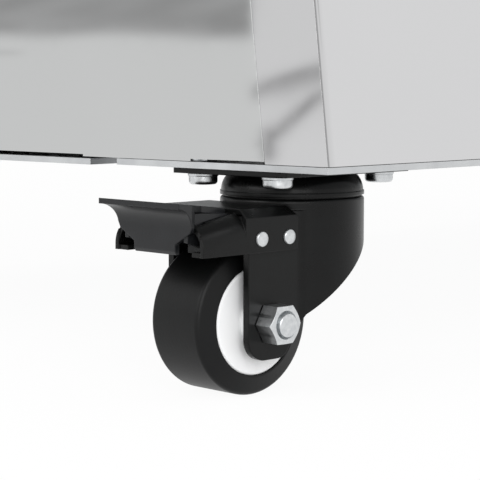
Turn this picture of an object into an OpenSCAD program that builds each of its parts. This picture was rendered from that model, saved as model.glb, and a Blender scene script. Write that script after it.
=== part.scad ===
// Refrigerated buffet table on four swivel casters.
// Origin: middle of the footprint, on the floor. X runs along the table, the front is -Y, Z is up.

/* [Table] */
// Length of the top frame
top_l = 1440; // [1400:5:1520]
// Depth of the top frame
top_d = 700; // [680:5:760]
// Height of the top frame above the floor
top_h = 910; // [880:5:960]
// Thickness of the top frame sheet
top_t = 2; // [1.5:0.5:3]
// Height of the skirt that hangs from the top frame
skirt_h = 40; // [30:1:60]
// Overhang of the top frame past the tank housing
top_over = 20; // [12:1:24]
// Length of the pedestal
base_l = 1280; // [1240:5:1320]
// Depth of the pedestal at its foot
base_d = 620; // [600:5:640]
// Inward lean of the long panels, in degrees
lean = 6.8; // [4:0.1:8]
// Height of the joint between pedestal and tank
tank_z = 640; // [620:5:660]

/* [Base and panels] */
// Visible height of the base rim
rim_h = 3.4; // [2.5:0.1:5]
// Depth of each long base rail
rail_d = 151; // [140:1:170]
// Slot between a base rail and the centre tray
rail_gap = 21.8; // [15:0.1:30]
// How far the centre tray hangs below the rails
tray_drop = 0.8; // [0.4:0.1:1.5]
// Height of the folded stiffeners on the base
upstand_h = 25; // [15:1:40]
// Thickness of the folded stiffeners
upstand_t = 2; // [1.5:0.1:3]
// Sheet thickness of the panels
panel_t = 1.5; // [1:0.1:2]
// Width of the corner strip that folds round each end
strip_w = 41.2; // [30:0.1:60]
// Gap between a panel and its neighbour
panel_gap = 0.3; // [0.2:0.1:0.6]
// Width of the lip behind a panel joint
lip_w = 12; // [6:1:20]
// Height of the notch along the foot of an end panel
foot_notch = 1.2; // [0.6:0.1:2]
// Width of the foot tab of an end panel
tab_w = 85; // [60:1:110]
// Distance from the corner to the foot tab
tab_in = 94; // [80:1:110]

/* [Casters] */
// Distance from the pedestal end to a swivel axis
swivel_in_x = 50.5; // [50:0.5:70]
// Distance from the pedestal side to a swivel axis
swivel_in_y = 68.3; // [60:0.1:90]
// Overall height of a caster
caster_h = 114.5; // [111:0.5:119]
// Diameter of the tyre
wheel_d = 77; // [74:0.5:78]
// Width of the tyre at the hub
tyre_w = 40.4; // [36:0.1:41]
// Radius of the tyre shoulders
tyre_r = 2.8; // [2:0.1:5]
// Taper of the tyre sides, in degrees
tyre_taper = 18.3; // [5:0.1:20]
// Diameter of the hub
hub_d = 56; // [50:0.5:60]
// Width of the hub between its faces
hub_w = 40.4; // [37:0.1:44]
// Diameter of the hub boss round the axle
boss_d = 24; // [20:0.5:30]
// Offset of the wheel axle behind the swivel axis
trail = 45.9; // [44:0.1:47]
// Turn of the front left caster, in degrees
yaw = 2.4; // [0:0.1:10]
// Length of the top plate
plate_l = 100; // [92:1:101]
// Width of the top plate
plate_w = 80; // [66:1:90]
// Thickness of the top plate
plate_t = 2.8; // [2:0.1:4]
// Bolt pitch along the plate
bolt_px = 80.5; // [78:0.5:84]
// Bolt pitch across the plate
bolt_py = 53.1; // [50:0.1:56]
// Thread diameter of the plate bolts
bolt_d = 8; // [6:0.5:8]
// Outer diameter of the ball race
race_d = 76.6; // [74:0.2:78]
// Diameter of the race balls
ball_d = 6; // [5:0.5:6.5]
// Number of balls in a race
ball_n = 22; // [16:1:26]
// Diameter of the king pin
king_d = 12; // [10:0.5:14]
// Width over the fork legs
fork_w = 60; // [58:0.5:62]
// Thickness of the fork sheet
leg_t = 4; // [3:0.1:4.5]
// Width of a leg at the axle
leg_w = 39.6; // [36:0.1:42]
// Slope of the rear edge of the fork, in degrees
rake = 37; // [33:0.5:41]
// Diameter of the axle bolt
axle_d = 12; // [10:0.5:12]
// Width across flats of the axle nut
nut_af = 19; // [18:0.5:22]
// Height of the axle nut
nut_h = 11.3; // [8:0.1:14]

/* [Brake] */
// Sheet thickness of the brake housing
brake_t = 3; // [2.5:0.1:3.5]
// Reach of the brake housing in front of the swivel axis
brake_reach = 94.5; // [92:0.5:96]
// Height of the lower edge of the brake housing
brake_z = 74.7; // [73:0.1:76]
// Radius of the brake housing shoulders
shoulder_r = 12.5; // [9:0.5:14]
// Reach of the pedal lip in front of the swivel axis
pedal_reach = 107.5; // [105:0.5:112]
// Width of the pedal lip
pedal_w = 60; // [56:0.5:64]
// Thickness of the pedal sheet
pedal_t = 2.8; // [2:0.1:3.2]
// Height of the pedal lip above the floor
pedal_z = 101.5; // [100.5:0.1:102.5]
// Radius of the hollow under the pedal lip
cove_r = 10.5; // [7:0.5:11]
// Travel of the pedal, in degrees
press = 10; // [6:0.5:10]
// Diameter of the pedal pivot pin
pivot_d = 6; // [5:0.5:6.5]

/* [Tank] */
// Sheet thickness of the tank housing
housing_t = 1.5; // [1:0.1:2.5]
// Sheet thickness of the liner
liner_t = 1.2; // [0.8:0.1:2]
// Depth of the liner
liner_h = 208; // [190:1:225]
// Width of the liner flange
liner_flange = 15; // [8:1:25]
// Clearance between the liner and the pan opening
liner_clear = 8; // [4:1:14]
// Distance from the food pans to the long edges of the top frame
pan_side = 85; // [78:1:95]
// Distance from the food pans to the ends of the top frame
pan_end = 67; // [62:1:90]
// Depth of a food pan
pan_h = 150; // [65:5:150]
// Sheet thickness of a food pan
pan_t = 1; // [0.8:0.1:1.5]
// Width of the pan rim
pan_rim = 15; // [13.5:0.5:18]
// Corner radius of the pan body
pan_r = 28; // [15:1:45]
// Gap between neighbouring pan rims
pan_gap = 2; // [1:0.5:4]
// Number of food pans
pan_n = 4; // [4:1:4]
// Width of a crossbar between pans
bar_w = 20; // [14:1:24]
// Height of a crossbar
bar_h = 12; // [8:1:20]
// Diameter of the refrigerant tube
tube_d = 10; // [6:0.5:12]
// Pitch of the evaporator passes
coil_pitch = 60; // [40:2:64]

/* [Guard] */
// Overall height of the table
guard_h = 1350; // [1300:5:1400]
// Outer radius of the curved glass
glass_r = 390; // [340:5:420]
// Thickness of the glass
glass_t = 8; // [6:0.5:10]
// Distance of the posts behind the middle
post_y = 60; // [30:5:90]
// Diameter of the posts
post_d = 30; // [25:1:38]
// Wall of the posts
post_wall = 2; // [1.5:0.5:4]
// Distance of the posts from the end of the top frame
post_in = 32; // [26:1:40]
// Width of the lamp housing
lamp_w = 44; // [40:1:70]
// Height of the lamp housing
lamp_h = 30; // [22:1:40]
// Thickness of the lamp lens
lens_t = 3; // [2:0.5:5]

/* [Machine] */
// Diameter of the compressor pot
comp_d = 190; // [150:5:220]
// Height of the compressor pot
comp_h = 170; // [120:5:200]
// Distance of the compressor from the middle
comp_x = 400; // [330:5:460]
// Width of the condenser
cond_w = 300; // [240:5:340]
// Height of the condenser
cond_h = 250; // [210:5:280]
// Depth of the condenser
cond_d = 55; // [40:1:70]
// Diameter of the fan
fan_d = 200; // [160:5:205]
// Number of fan blades
blade_n = 5; // [3:1:7]
// Number of air slots in the rear panel
slot_n = 12; // [6:1:16]
// Height of an air slot
slot_h = 8; // [5:0.5:12]
// Pitch of the air slots
slot_pitch = 20; // [14:1:24]
// Width of the control panel
ctrl_w = 200; // [160:5:260]
// Height of the control panel
ctrl_h = 80; // [70:2:110]
// Distance from the end of the tank to the middle of the control panel
ctrl_in = 270; // [200:5:400]
// Diameter of the thermostat knob
knob_d = 42; // [30:1:50]
// Bore of the drain pipe
drain_d = 22; // [16:1:28]
// Length of the drain lever
lever_l = 44; // [34:1:60]

/* [Hidden] */
$fn = 64;
eps = 0.01;

// Running clearance on a radius
fit = 0.05;
// Clearance between pieces that pass each other
clear = 0.4;

// Casters: the local origin is on the floor under the swivel axis, the wheel trails to -X
FL = 0;
FR = 1;
RL = 2;
RR = 3;
swivel_x = base_l / 2 - swivel_in_x;
swivel_y = base_d / 2 - swivel_in_y;
spots = [[-swivel_x, -swivel_y, -yaw], [swivel_x, -swivel_y, 180],
         [-swivel_x, swivel_y, 0], [swivel_x, swivel_y, 180]];
axle_z = wheel_d / 2;
shoulder_steps = 8;
plate_z = caster_h - plate_t;
race_r = race_d / 2;
race_gap = 1;
plate_r = 2;
dome_r = 12;
race_lip_h = 2;
race_lip_t = 0.5;
race_h = 11.4;
race_z = plate_z - race_h;
ring_h = 5.3;
crown_z = race_z - race_gap - ring_h;
crown_t = 4;
ring_r = 1.6;
seal_r = race_r - 2.9;
seal_t = 1.2;
seal_h = 0.8;
ball_r = seal_r - seal_t / 2 - clear - 1.1 - ball_d / 2;
race_in = ball_r - ball_d / 2 - 3;
king_head_d = 2 * king_d - 4;
king_head_h = 3;
fork_y = fork_w / 2;
leg_front = -trail - leg_w / 2 + 4.5;
leg_rear = leg_front + leg_w;
leg_foot = 19.8;
leg_r = 11;
leg_toe = 8;
leg_slant = 54.7;
leg_heel = axle_z + 2;
toe_x = leg_rear - (leg_toe - cos(leg_slant) * (leg_foot + leg_toe - leg_heel)) / sin(leg_slant);
leg_fillet = 10;
thread_out = 1.7;
washer_d = 2 * bolt_d + 0.2;
washer_t = 1.6;
bolt_head_d = 1.9 * bolt_d;
bolt_head_h = 4.4;
bolt_grip = rim_h + 6;

// Brake
pivot_x = -55.3;
pivot_z = 81.6;
rivet_x = -35.9;
brake_y = fork_y + brake_t;
brake_rear = -29;
brake_break = leg_front - 4.8;
brake_top = crown_z + 2.8;
brake_bevel = 4.5;
brake_slot = 24;
brake_rise = 9.7;
brake_tip_z = 90.2;
wall_x = pedal_reach - cove_r;
arm_y = 23.3;
arm_r = 6.5;
pedal_fall = 0.114;
pedal_taper = 2.5;
pedal_neck = 10;
fold_drop = 2.2;
wall_foot = 75.2;
tongue = 15.3;
web_z = 85;
shoe_l = 11;
shoe_x = pivot_x - pivot_d / 2 - clear - shoe_l / 2;
shoe_w = 11;
shoe_h = 16;
shoe_gap = 0.5;

// Base and panels
floor_z = caster_h + rim_h;
panel_z0 = floor_z + panel_gap;
panel_z1 = tank_z - panel_gap;
shift = (panel_z1 - panel_z0) * tan(lean);
tray_y = base_d / 2 - rail_d - rail_gap;
tray_z = caster_h - tray_drop;
upstand_in = panel_t + upstand_h * tan(lean) + panel_gap;

// Tank
seat_l = 16;
sheet_z = top_h - top_t;
row_l = top_l - 2 * pan_end;
pan_pitch = (row_l + pan_gap) / pan_n;
pan_w = pan_pitch - pan_gap;
pan_l = top_d - 2 * pan_side;
ledge = pan_rim - 2;
hole_l = row_l - 2 * ledge;
hole_d = pan_l - 2 * ledge;
liner_l = hole_l + 2 * liner_clear;
liner_d = hole_d + 2 * liner_clear;
liner_z = sheet_z - liner_h;
body_l = top_l - 2 * top_over;
body_d = top_d - 2 * top_over;
pocket_h = tube_d + 2;
coil_n = 2 * floor((liner_d - 60) / coil_pitch / 2);
coil_in = 100;
cold_drop = 80;
hot_rise = 60;
line_in = 20;
coil_l = liner_l - 2 * coil_in;
coil_z = liner_z - tube_d / 2 - 0.1;
coil_side = (coil_n - 1) * coil_pitch / 2;
pocket_d = (coil_n - 1) * coil_pitch + tube_d + 12;
pocket_l = coil_l + coil_pitch + tube_d + 12;

// Guard
glass_z = guard_h - glass_r;
glass_in = 10;
post_x = top_l / 2 - post_in;
saddle_r = glass_r - glass_t - panel_gap;
lamp_z = glass_z + saddle_r - lamp_h;
glass_from = 66;
glass_to = 156;

// Machine
pump_z = tray_z + rim_h;
fan_x = -20;
cond_y = tray_y - upstand_t - cond_d / 2 - 5;
fan_z = pump_z + cond_h / 2 + 6;
slot_w = cond_w - 40;
tip_gap = 4;
shroud_t = 2;
shroud_wall = 3;
shroud_rim = 15;
shroud_h = 45;
motor_d = 70;
motor_l = 40;
arm_w = 12;
shaft_d = 8;
shaft_seat = 20;
ctrl_x = body_l / 2 - ctrl_in;
ctrl_z = (tank_z + sheet_z) / 2 + 20;
ctrl_t = 3;
ctrl_deep = 40;
ctrl_face = body_d / 2 + ctrl_t;
knob_x = ctrl_x - ctrl_w / 4;
switch_x = ctrl_x + ctrl_w / 4;
switch_w = 22;
switch_r = 15;
switch_y = ctrl_face - switch_r + 4;
drain_in = 90;
drain_x = hole_l / 2 - drain_in;
drain_z = tank_z - 34;
valve_l = 28;
valve_out = 12;
valve_x = base_l / 2 + valve_out + valve_l / 2;
valve_wall = 4;
spigot_l = 20;
spigot_d = drain_d + 4;
neck_l = 4;
pipe_d = drain_d + 3;
post_stem_d = 12;
stem_d = 6;
stem_head_d = 10;
stem_head_h = 2;
lever_t = 5;
lever_z = drain_z + drain_d / 2 + 9.3;
gland_in = 90;
gland_x = base_l / 2 - gland_in;
gland_up = 70;
gland_z = panel_z0 + gland_up;

// Flat rectangle with round corners, middle at the origin
module round_rect(l, w, r) {
    square([l - 2 * r, w], center = true);
    square([l, w - 2 * r], center = true);
    for (x = [-1, 1], y = [-1, 1])
        translate([x * (l / 2 - r), y * (w / 2 - r)]) circle(r);
}

// Box with its middle at x, y and its foot at z
module block(l, w, h, x = 0, y = 0, z = 0) {
    translate([x - l / 2, y - w / 2, z]) cube([l, w, h]);
}

// Open tray or tube of sheet: outer size, wall, and a floor of the given thickness
module basin(l, w, h, t, floor_t, r) {
    difference() {
        linear_extrude(h) round_rect(l, w, r);
        translate([0, 0, floor_t]) linear_extrude(h) round_rect(l - 2 * t, w - 2 * t, r - t);
    }
}

// A piece and its mirror image
module mirrored(axis) {
    children();
    mirror(axis) children();
}

// Cylinder along Y between two distances
module rod_y(d, y0, y1) {
    translate([0, y1, 0]) rotate([90, 0, 0]) cylinder(d = d, h = y1 - y0);
}

// Round tube along a list of points, with ball corners
module pipe(points, d) {
    for (i = [0 : len(points) - 2]) {
        run = points[i + 1] - points[i];
        translate(points[i])
            rotate([0, acos(run[2] / norm(run)), atan2(run[1], run[0])])
            cylinder(d = d, h = norm(run));
    }
    for (i = [1 : 1 : len(points) - 2]) translate(points[i]) sphere(d = d);
}

// Places a piece at one caster
module caster(i) {
    translate([spots[i][0], spots[i][1], 0]) rotate([0, 0, spots[i][2]]) children();
}

// Places a piece at one caster, square to the table
module square_caster(i) {
    translate([spots[i][0], spots[i][1], 0]) children();
}

// Outline of the fork seen from above
module fork_plan(side, radius, front, fillet) {
    back = -sqrt(pow(radius + fillet, 2) - pow(side + fillet, 2));
    touch = radius / (radius + fillet);
    circle(radius);
    translate([front, -side]) square([-front, 2 * side]);
    mirrored([0, 1]) difference() {
        polygon([[back, 0], [back, side + fillet], [back * touch, (side + fillet) * touch], [0, 0]]);
        translate([back, side + fillet]) circle(fillet);
    }
}

// Outline of the fork seen from the side
module fork_side() {
    translate([leg_front + leg_r, leg_foot + leg_r]) circle(leg_r);
    translate([toe_x, leg_foot + leg_toe]) circle(leg_toe);
    polygon([[leg_front, leg_foot + leg_r], [leg_front + leg_r, leg_foot + leg_r],
             [leg_front + leg_r, leg_foot], [toe_x, leg_foot], [toe_x, leg_foot + leg_toe],
             [toe_x + leg_toe * sin(leg_slant), leg_foot + leg_toe - leg_toe * cos(leg_slant)],
             [leg_rear, leg_heel], [race_r, leg_heel + (race_r - leg_rear) * tan(rake)],
             [race_r, crown_z], [leg_front, crown_z]]);
}

module caster_plate() {
    dome_x = race_r - race_lip_t - dome_r;
    color("#2b2d2f") {
        difference() {
            union() {
                translate([0, 0, plate_z]) linear_extrude(plate_t) round_rect(plate_l, plate_w, plate_r);
                rotate_extrude() difference() {
                    union() {
                        translate([0, race_z]) square([race_r, race_lip_h]);
                        translate([0, race_z]) square([dome_x, race_h]);
                        intersection() {
                            translate([dome_x, race_z + race_lip_h]) circle(dome_r);
                            translate([0, race_z]) square([race_r, race_h]);
                        }
                    }
                    translate([seal_r - seal_t / 2 - clear, race_z - 1])
                        square([seal_t + 2 * clear, 1 + seal_h + clear]);
                    translate([-eps, race_z - eps]) square([race_in, race_h - 3]);
                    translate([ball_r, race_z - race_gap / 2]) circle(d = ball_d + 2 * fit);
                }
            }
            for (x = [-1, 1], y = [-1, 1])
                translate([x * bolt_px / 2, y * bolt_py / 2, 0])
                    cylinder(d = bolt_d + 1, h = caster_h + 1);
        }
        pin_foot = crown_z - crown_t - 2 * fit;
        translate([0, 0, pin_foot - king_head_h])
            cylinder(d = king_d, h = plate_z - pin_foot + king_head_h);
        translate([0, 0, pin_foot - king_head_h]) cylinder(d = king_head_d, h = king_head_h);
    }
}

module caster_yoke() {
    color("#232527") difference() {
        union() {
            intersection() {
                linear_extrude(crown_z) difference() {
                    fork_plan(fork_y, race_r, leg_front - 1, leg_fillet);
                    fork_plan(fork_y - leg_t, race_r - leg_t, leg_front - 2, leg_fillet + leg_t);
                }
                translate([0, race_r + 1, 0]) rotate([90, 0, 0])
                    linear_extrude(2 * race_r + 2) fork_side();
            }
            translate([0, 0, crown_z - crown_t]) cylinder(r = race_r, h = crown_t);
            rotate_extrude() difference() {
                union() {
                    translate([race_in, crown_z - eps])
                        square([race_r - race_in, ring_h + eps - ring_r]);
                    translate([race_in, crown_z - eps])
                        square([race_r - race_in - ring_r, ring_h + eps]);
                    translate([race_r - ring_r, crown_z + ring_h - ring_r]) circle(ring_r);
                    translate([seal_r - seal_t / 2, crown_z])
                        square([seal_t, ring_h + race_gap + seal_h]);
                }
                translate([ball_r, race_z - race_gap / 2]) circle(d = ball_d + 2 * fit);
            }
        }
        cylinder(d = king_d + 2 * fit, h = caster_h);
        translate([-trail, 0, axle_z]) rod_y(axle_d + 2 * fit, -fork_y - 1, fork_y + 1);
        translate([pivot_x, 0, pivot_z]) rod_y(pivot_d + 2 * fit, -fork_y - 1, fork_y + 1);
        translate([rivet_x, 0, pivot_z]) rod_y(pivot_d + 2 * fit, -fork_y - 1, fork_y + 1);
    }
}

module caster_axle() {
    color("#c4c6c8") translate([-trail, 0, axle_z]) {
        rod_y(axle_d, -fork_y - nut_h - thread_out, fork_y + 1);
        translate([0, fork_y, 0]) rotate([-90, 0, 0])
            cylinder(d = nut_af / cos(30), h = 7.5, $fn = 6);
        difference() {
            translate([0, -fork_y, 0]) rotate([90, 0, 0])
                cylinder(d = nut_af / cos(30), h = nut_h, $fn = 6);
            rod_y(axle_d + 2 * fit, -fork_y - nut_h - 1, -fork_y + 1);
            rod_y(axle_d + 2.6, -fork_y - nut_h - 1, -fork_y - nut_h + 2.2);
        }
    }
}

module caster_hub() {
    color("#e9eaea") translate([-trail, 0, axle_z]) rotate([90, 0, 0]) rotate_extrude() difference() {
        union() {
            translate([0, -hub_w / 2 + 1.5]) square([hub_d / 2, hub_w - 3]);
            translate([0, -hub_w / 2]) square([hub_d / 2 - 1.5, hub_w]);
            for (s = [-1, 1]) translate([hub_d / 2 - 1.5, s * (hub_w / 2 - 1.5)]) circle(1.5);
            translate([0, -tyre_w / 4]) square([hub_d / 2 + 2.5, tyre_w / 2]);
            translate([0, -fork_y + leg_t + 0.2]) square([boss_d / 2, fork_w - 2 * leg_t - 0.4]);
        }
        translate([-1, -fork_y]) square([axle_d / 2 + fit + 1, fork_w]);
        for (s = [-1, 1]) translate([boss_d / 2 + 3, s * hub_w / 2]) circle(1);
    }
}

module caster_tyre() {
    flat_r = hub_d / 2 + 1;
    tip_r = wheel_d / 2 - tyre_r;
    side_r = tip_r + tyre_r * sin(tyre_taper);
    side_y = tyre_w / 2 - (side_r - flat_r) * tan(tyre_taper);
    tip_y = side_y - tyre_r * cos(tyre_taper);
    bend = (90 - tyre_taper) / shoulder_steps;
    right = [for (k = [0 : shoulder_steps])
        [tip_r + tyre_r * sin(tyre_taper + k * bend), tip_y + tyre_r * cos(tyre_taper + k * bend)]];
    left = [for (k = [shoulder_steps : -1 : 0]) [right[k][0], -right[k][1]]];
    color("#1d1e20") translate([-trail, 0, axle_z]) rotate([90, 0, 0]) rotate_extrude() difference() {
        polygon(concat([[hub_d / 2, -tyre_w / 2], [hub_d / 2, tyre_w / 2], [flat_r, tyre_w / 2]],
                       right, left, [[flat_r, -tyre_w / 2]]));
        translate([0, -tyre_w / 4]) square([hub_d / 2 + 2.5, tyre_w / 2]);
    }
}

// Section of the front part of the brake housing, top edge at zero
module shoulder_section(half, r) {
    translate([-half, -60]) square([2 * half, 60 - r]);
    translate([-half + r, -60]) square([2 * half - 2 * r, 60]);
    for (s = [-1, 1]) translate([s * (half - r), -r]) circle(r);
}

// Front part of the brake housing: a bent sheet that rises to the rear
module brake_nose(inset, longer) {
    intersection() {
        translate([-brake_reach, 0, brake_tip_z - inset]) rotate([0, -brake_rise, 0])
            rotate([90, 0, 90]) translate([0, 0, -20])
            linear_extrude(brake_reach) shoulder_section(brake_y - inset, shoulder_r - inset);
        translate([-brake_reach - longer, -brake_y, brake_z + inset])
            cube([brake_reach + brake_break + 4 + 2 * longer, 2 * brake_y, 40]);
    }
}

// Space for the sheet of the pressed pedal
module pedal_relief() {
    front = -wall_x - 1;
    neck = pedal_neck - wall_x + 3;
    half = pedal_w / 2 - pedal_taper + clear;
    translate([pivot_x, 0, pivot_z]) rotate([0, -press, 0]) translate([-pivot_x, half, -pivot_z])
        rotate([90, 0, 0]) linear_extrude(2 * half)
        polygon([[front, pedal_z - pedal_t - fold_drop - clear], [neck, pedal_under(neck) - clear],
                 [neck, pedal_z + 5], [front, pedal_z + 5]]);
}

module brake_housing() {
    color("#2a2c2e") difference() {
        union() {
            difference() {
                brake_nose(0, 0);
                brake_nose(brake_t - 0.6, 5);
                translate([-brake_reach - 1, -brake_slot, 0])
                    cube([brake_reach + 1, 2 * brake_slot, caster_h]);
                translate([-brake_reach - 1, -pedal_w / 2 - clear, 0])
                    cube([1 + brake_reach - wall_x + pedal_t + clear, pedal_w + 2 * clear, caster_h]);
                translate([brake_break, -fork_y, 0]) cube([10, fork_w, caster_h]);
            }
            intersection() {
                rotate([90, 0, 90]) translate([0, 0, brake_break])
                    linear_extrude(brake_rear - brake_break) difference() {
                        mirrored([1, 0])
                            polygon([[0, brake_z], [brake_y, brake_z],
                                     [brake_y, brake_top - brake_bevel],
                                     [brake_y - brake_bevel, brake_top], [0, brake_top]]);
                        translate([-fork_y, 0]) square([fork_w, crown_z]);
                    }
                translate([0, brake_y, 0]) rotate([90, 0, 0]) linear_extrude(2 * brake_y)
                    polygon([[brake_break, 0], [brake_rear, 0], [brake_rear, brake_top - 5.6],
                             [brake_rear - 4.6, brake_top], [brake_break, brake_top]]);
            }
        }
        translate([0, 0, crown_z - 0.5]) cylinder(r = race_r + clear, h = 20);
        pedal_relief();
        translate([pivot_x, 0, pivot_z]) rod_y(pivot_d + 2 * fit, -brake_y - 1, brake_y + 1);
        translate([rivet_x, 0, pivot_z]) rod_y(pivot_d + 2 * fit, -brake_y - 1, brake_y + 1);
    }
}

module brake_rivets() {
    head_d = pivot_d + 2.1;
    color("#d4d6d8") {
        translate([pivot_x, 0, pivot_z]) {
            rod_y(pivot_d, -brake_y - 0.5, brake_y + 0.5);
            rod_y(head_d, -brake_y - 1.6, -brake_y);
            rod_y(head_d, brake_y, brake_y + 1.6);
        }
        translate([rivet_x, 0, pivot_z]) mirrored([0, 1, 0]) {
            rod_y(pivot_d, fork_y - leg_t - 1, brake_y + 0.5);
            rod_y(head_d, brake_y, brake_y + 1.6);
            rod_y(head_d, fork_y - leg_t - 1.6, fork_y - leg_t);
        }
    }
}

// Height of the underside of the pedal sheet at a distance along the caster
function pedal_under(x) = pedal_z - pedal_t - pedal_fall * (pedal_reach + x);

// Outline of the pedal sheet seen from the side
module pedal_side() {
    back = brake_break - 3;
    difference() {
        polygon([[-pedal_reach, pedal_z - pedal_t], [-pedal_reach, pedal_z],
                 [back, pedal_under(back) + pedal_t], [back, pedal_under(back)],
                 [-wall_x + pedal_t, pedal_z - pedal_t - fold_drop],
                 [-wall_x + pedal_t, wall_foot], [-wall_x + 1, wall_foot],
                 [-wall_x, wall_foot + 1.8],
                 [-wall_x, pedal_z - pedal_t - cove_r]]);
        translate([-pedal_reach, pedal_z - pedal_t - cove_r]) circle(cove_r);
    }
}

// Outline of the pedal seen from the front
module pedal_front() {
    half = pedal_w / 2;
    low = wall_foot - 4;
    mirrored([1, 0]) polygon([[0, low], [tongue, low], [tongue, wall_foot + 5.2],
                              [half - 4, wall_foot + 11.3], [half - 2.7, wall_foot + 13.8],
                              [half, wall_foot + 22.8], [half, caster_h], [0, caster_h]]);
}

// Outline of the pedal seen from above
module pedal_plan() {
    neck = pedal_neck - wall_x;
    tail = pivot_x - 4.7;
    mirrored([0, 1]) polygon([[-pedal_reach, 0], [-pedal_reach, pedal_w / 2],
                              [-wall_x, pedal_w / 2 - pedal_taper], [neck, arm_y + 0.2],
                              [tail, arm_y - 3.3], [tail, 0]]);
}

module brake_pedal() {
    color("#2c2e30") difference() {
        union() {
            intersection() {
                translate([0, pedal_w, 0]) rotate([90, 0, 0])
                    linear_extrude(2 * pedal_w) pedal_side();
                rotate([90, 0, 90]) translate([0, 0, -pedal_reach - 1])
                    linear_extrude(pedal_reach) pedal_front();
                linear_extrude(caster_h) pedal_plan();
            }
            for (s = [-1, 1]) translate([0, s * (arm_y - pedal_t / 2) + pedal_t / 2, 0])
                rotate([90, 0, 0]) linear_extrude(pedal_t) {
                    polygon([[-wall_x + 1, pivot_z], [-wall_x + 1, pivot_z + 14.4],
                             [brake_break - 4, pivot_z + 12.9], [pivot_x, pivot_z + arm_r],
                             [pivot_x, pivot_z - arm_r], [pivot_x - 28.7, pivot_z - 4]]);
                    translate([pivot_x, pivot_z]) circle(arm_r);
                }
            block(shoe_l, 2 * arm_y - 1, 3, x = shoe_x, z = web_z);
        }
        translate([pivot_x, 0, pivot_z]) rod_y(pivot_d + 2 * fit, -arm_y - 1, arm_y + 1);
    }
}

module brake_shoe() {
    color("#3a3c3e") difference() {
        block(shoe_l, shoe_w, shoe_h, x = shoe_x, z = web_z - shoe_h);
        translate([pivot_x, 0, pivot_z]) rotate([0, press, 0]) translate([-pivot_x, 0, -pivot_z])
            translate([-trail, 0, axle_z]) rod_y(wheel_d + 2 * shoe_gap, -tyre_w, tyre_w);
        block(shoe_l, 2 * shoe_w, 8, x = shoe_x + 3, z = web_z - shoe_h - 4);
    }
}

module swivel_balls() {
    color("#b8babc") for (i = [FL, FR, RL, RR]) caster(i) for (k = [0 : ball_n - 1])
        rotate([0, 0, 360 * k / ball_n]) translate([ball_r, 0, race_z - race_gap / 2])
            sphere(d = ball_d);
}

module caster_bolts() {
    color("#d0d2d4") for (i = [FL, FR, RL, RR]) square_caster(i) for (x = [-1, 1], y = [-1, 1])
        translate([x * bolt_px / 2, y * bolt_py / 2, plate_z]) {
            translate([0, 0, -washer_t]) cylinder(d = washer_d, h = washer_t);
            translate([0, 0, -washer_t - bolt_head_h]) {
                translate([0, 0, 1.4]) cylinder(d = bolt_head_d, h = bolt_head_h - 1.4);
                cylinder(d1 = bolt_head_d - 3, d2 = bolt_head_d, h = 1.4);
            }
            translate([0, 0, -washer_t]) cylinder(d = bolt_d, h = washer_t + plate_t + bolt_grip);
            translate([0, 0, plate_t + rim_h])
                cylinder(d = 1.7 * bolt_d / cos(30), h = 5, $fn = 6);
        }
}

module base_rails() {
    rail_y = base_d / 2 - rail_d;
    color("#b9bbbd") difference() {
        mirrored([0, 1, 0]) {
            translate([-base_l / 2, rail_y, caster_h]) cube([base_l, rail_d, rim_h]);
            translate([-base_l / 2 + 20, rail_y, caster_h])
                cube([base_l - 40, upstand_t, rim_h + upstand_h]);
            translate([-base_l / 2 + 20, base_d / 2 - upstand_in - upstand_t, caster_h])
                cube([base_l - 40, upstand_t, rim_h + upstand_h]);
        }
        for (i = [FL, FR, RL, RR]) square_caster(i) for (x = [-1, 1], y = [-1, 1])
            translate([x * bolt_px / 2, y * bolt_py / 2, caster_h - 1])
                cylinder(d = bolt_d + 1, h = rim_h + 2);
    }
}

module base_tray() {
    arm_z = floor_z + upstand_h;
    color("#aeb0b2") {
        block(base_l, 2 * tray_y, rim_h, z = tray_z);
        mirrored([0, 1, 0]) {
            translate([-base_l / 2 + 20, tray_y - upstand_t, tray_z])
                cube([base_l - 40, upstand_t, arm_z + upstand_t - tray_z]);
            translate([-base_l / 2 + 20, tray_y - upstand_t, arm_z])
                cube([base_l - 40, rail_gap + 2 * upstand_t + 2, upstand_t]);
        }
    }
}

// Strip between two heights that leans with the long panels, from in0 to in1 behind the corner
module leaning_strip(in0, in1, z0, z1) {
    foot = (z0 - panel_z0) * tan(lean);
    head = (z1 - panel_z0) * tan(lean);
    polygon([[-base_d / 2 + foot + in0, z0], [-base_d / 2 + foot + in1, z0],
             [-base_d / 2 + head + in1, z1], [-base_d / 2 + head + in0, z1]]);
}

// Long panel for the front; the strips at its ends fold round the corners
module long_panel() {
    rotate([90, 0, 90]) translate([0, 0, -base_l / 2])
        linear_extrude(base_l) leaning_strip(0, panel_t, panel_z0, panel_z1);
    for (x = [-base_l / 2, base_l / 2 - panel_t]) rotate([90, 0, 90]) translate([0, 0, x])
        linear_extrude(panel_t) leaning_strip(0, strip_w, panel_z0, panel_z1);
}

module front_panel() {
    color("#cfd1d3") long_panel();
}

module rear_panel() {
    color("#cfd1d3") difference() {
        mirror([0, 1, 0]) long_panel();
        for (k = [0 : slot_n - 1])
            block(slot_w, 60, slot_h, x = fan_x, y = base_d / 2 - 30, z = pump_z + 20 + k * slot_pitch);
        translate([gland_x, base_d / 2 - (gland_z - panel_z0) * tan(lean), gland_z])
            rotate([-90 + lean, 0, 0]) translate([0, 0, -20]) cylinder(d = 20, h = 40);
    }
}

// Half of an end panel with its lip and foot tab
module end_half(in0, z0) {
    foot = (z0 - panel_z0) * tan(lean);
    polygon([[-base_d / 2 + foot + in0, z0], [0, z0], [0, panel_z1],
             [-base_d / 2 + shift + in0, panel_z1]]);
}

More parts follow.
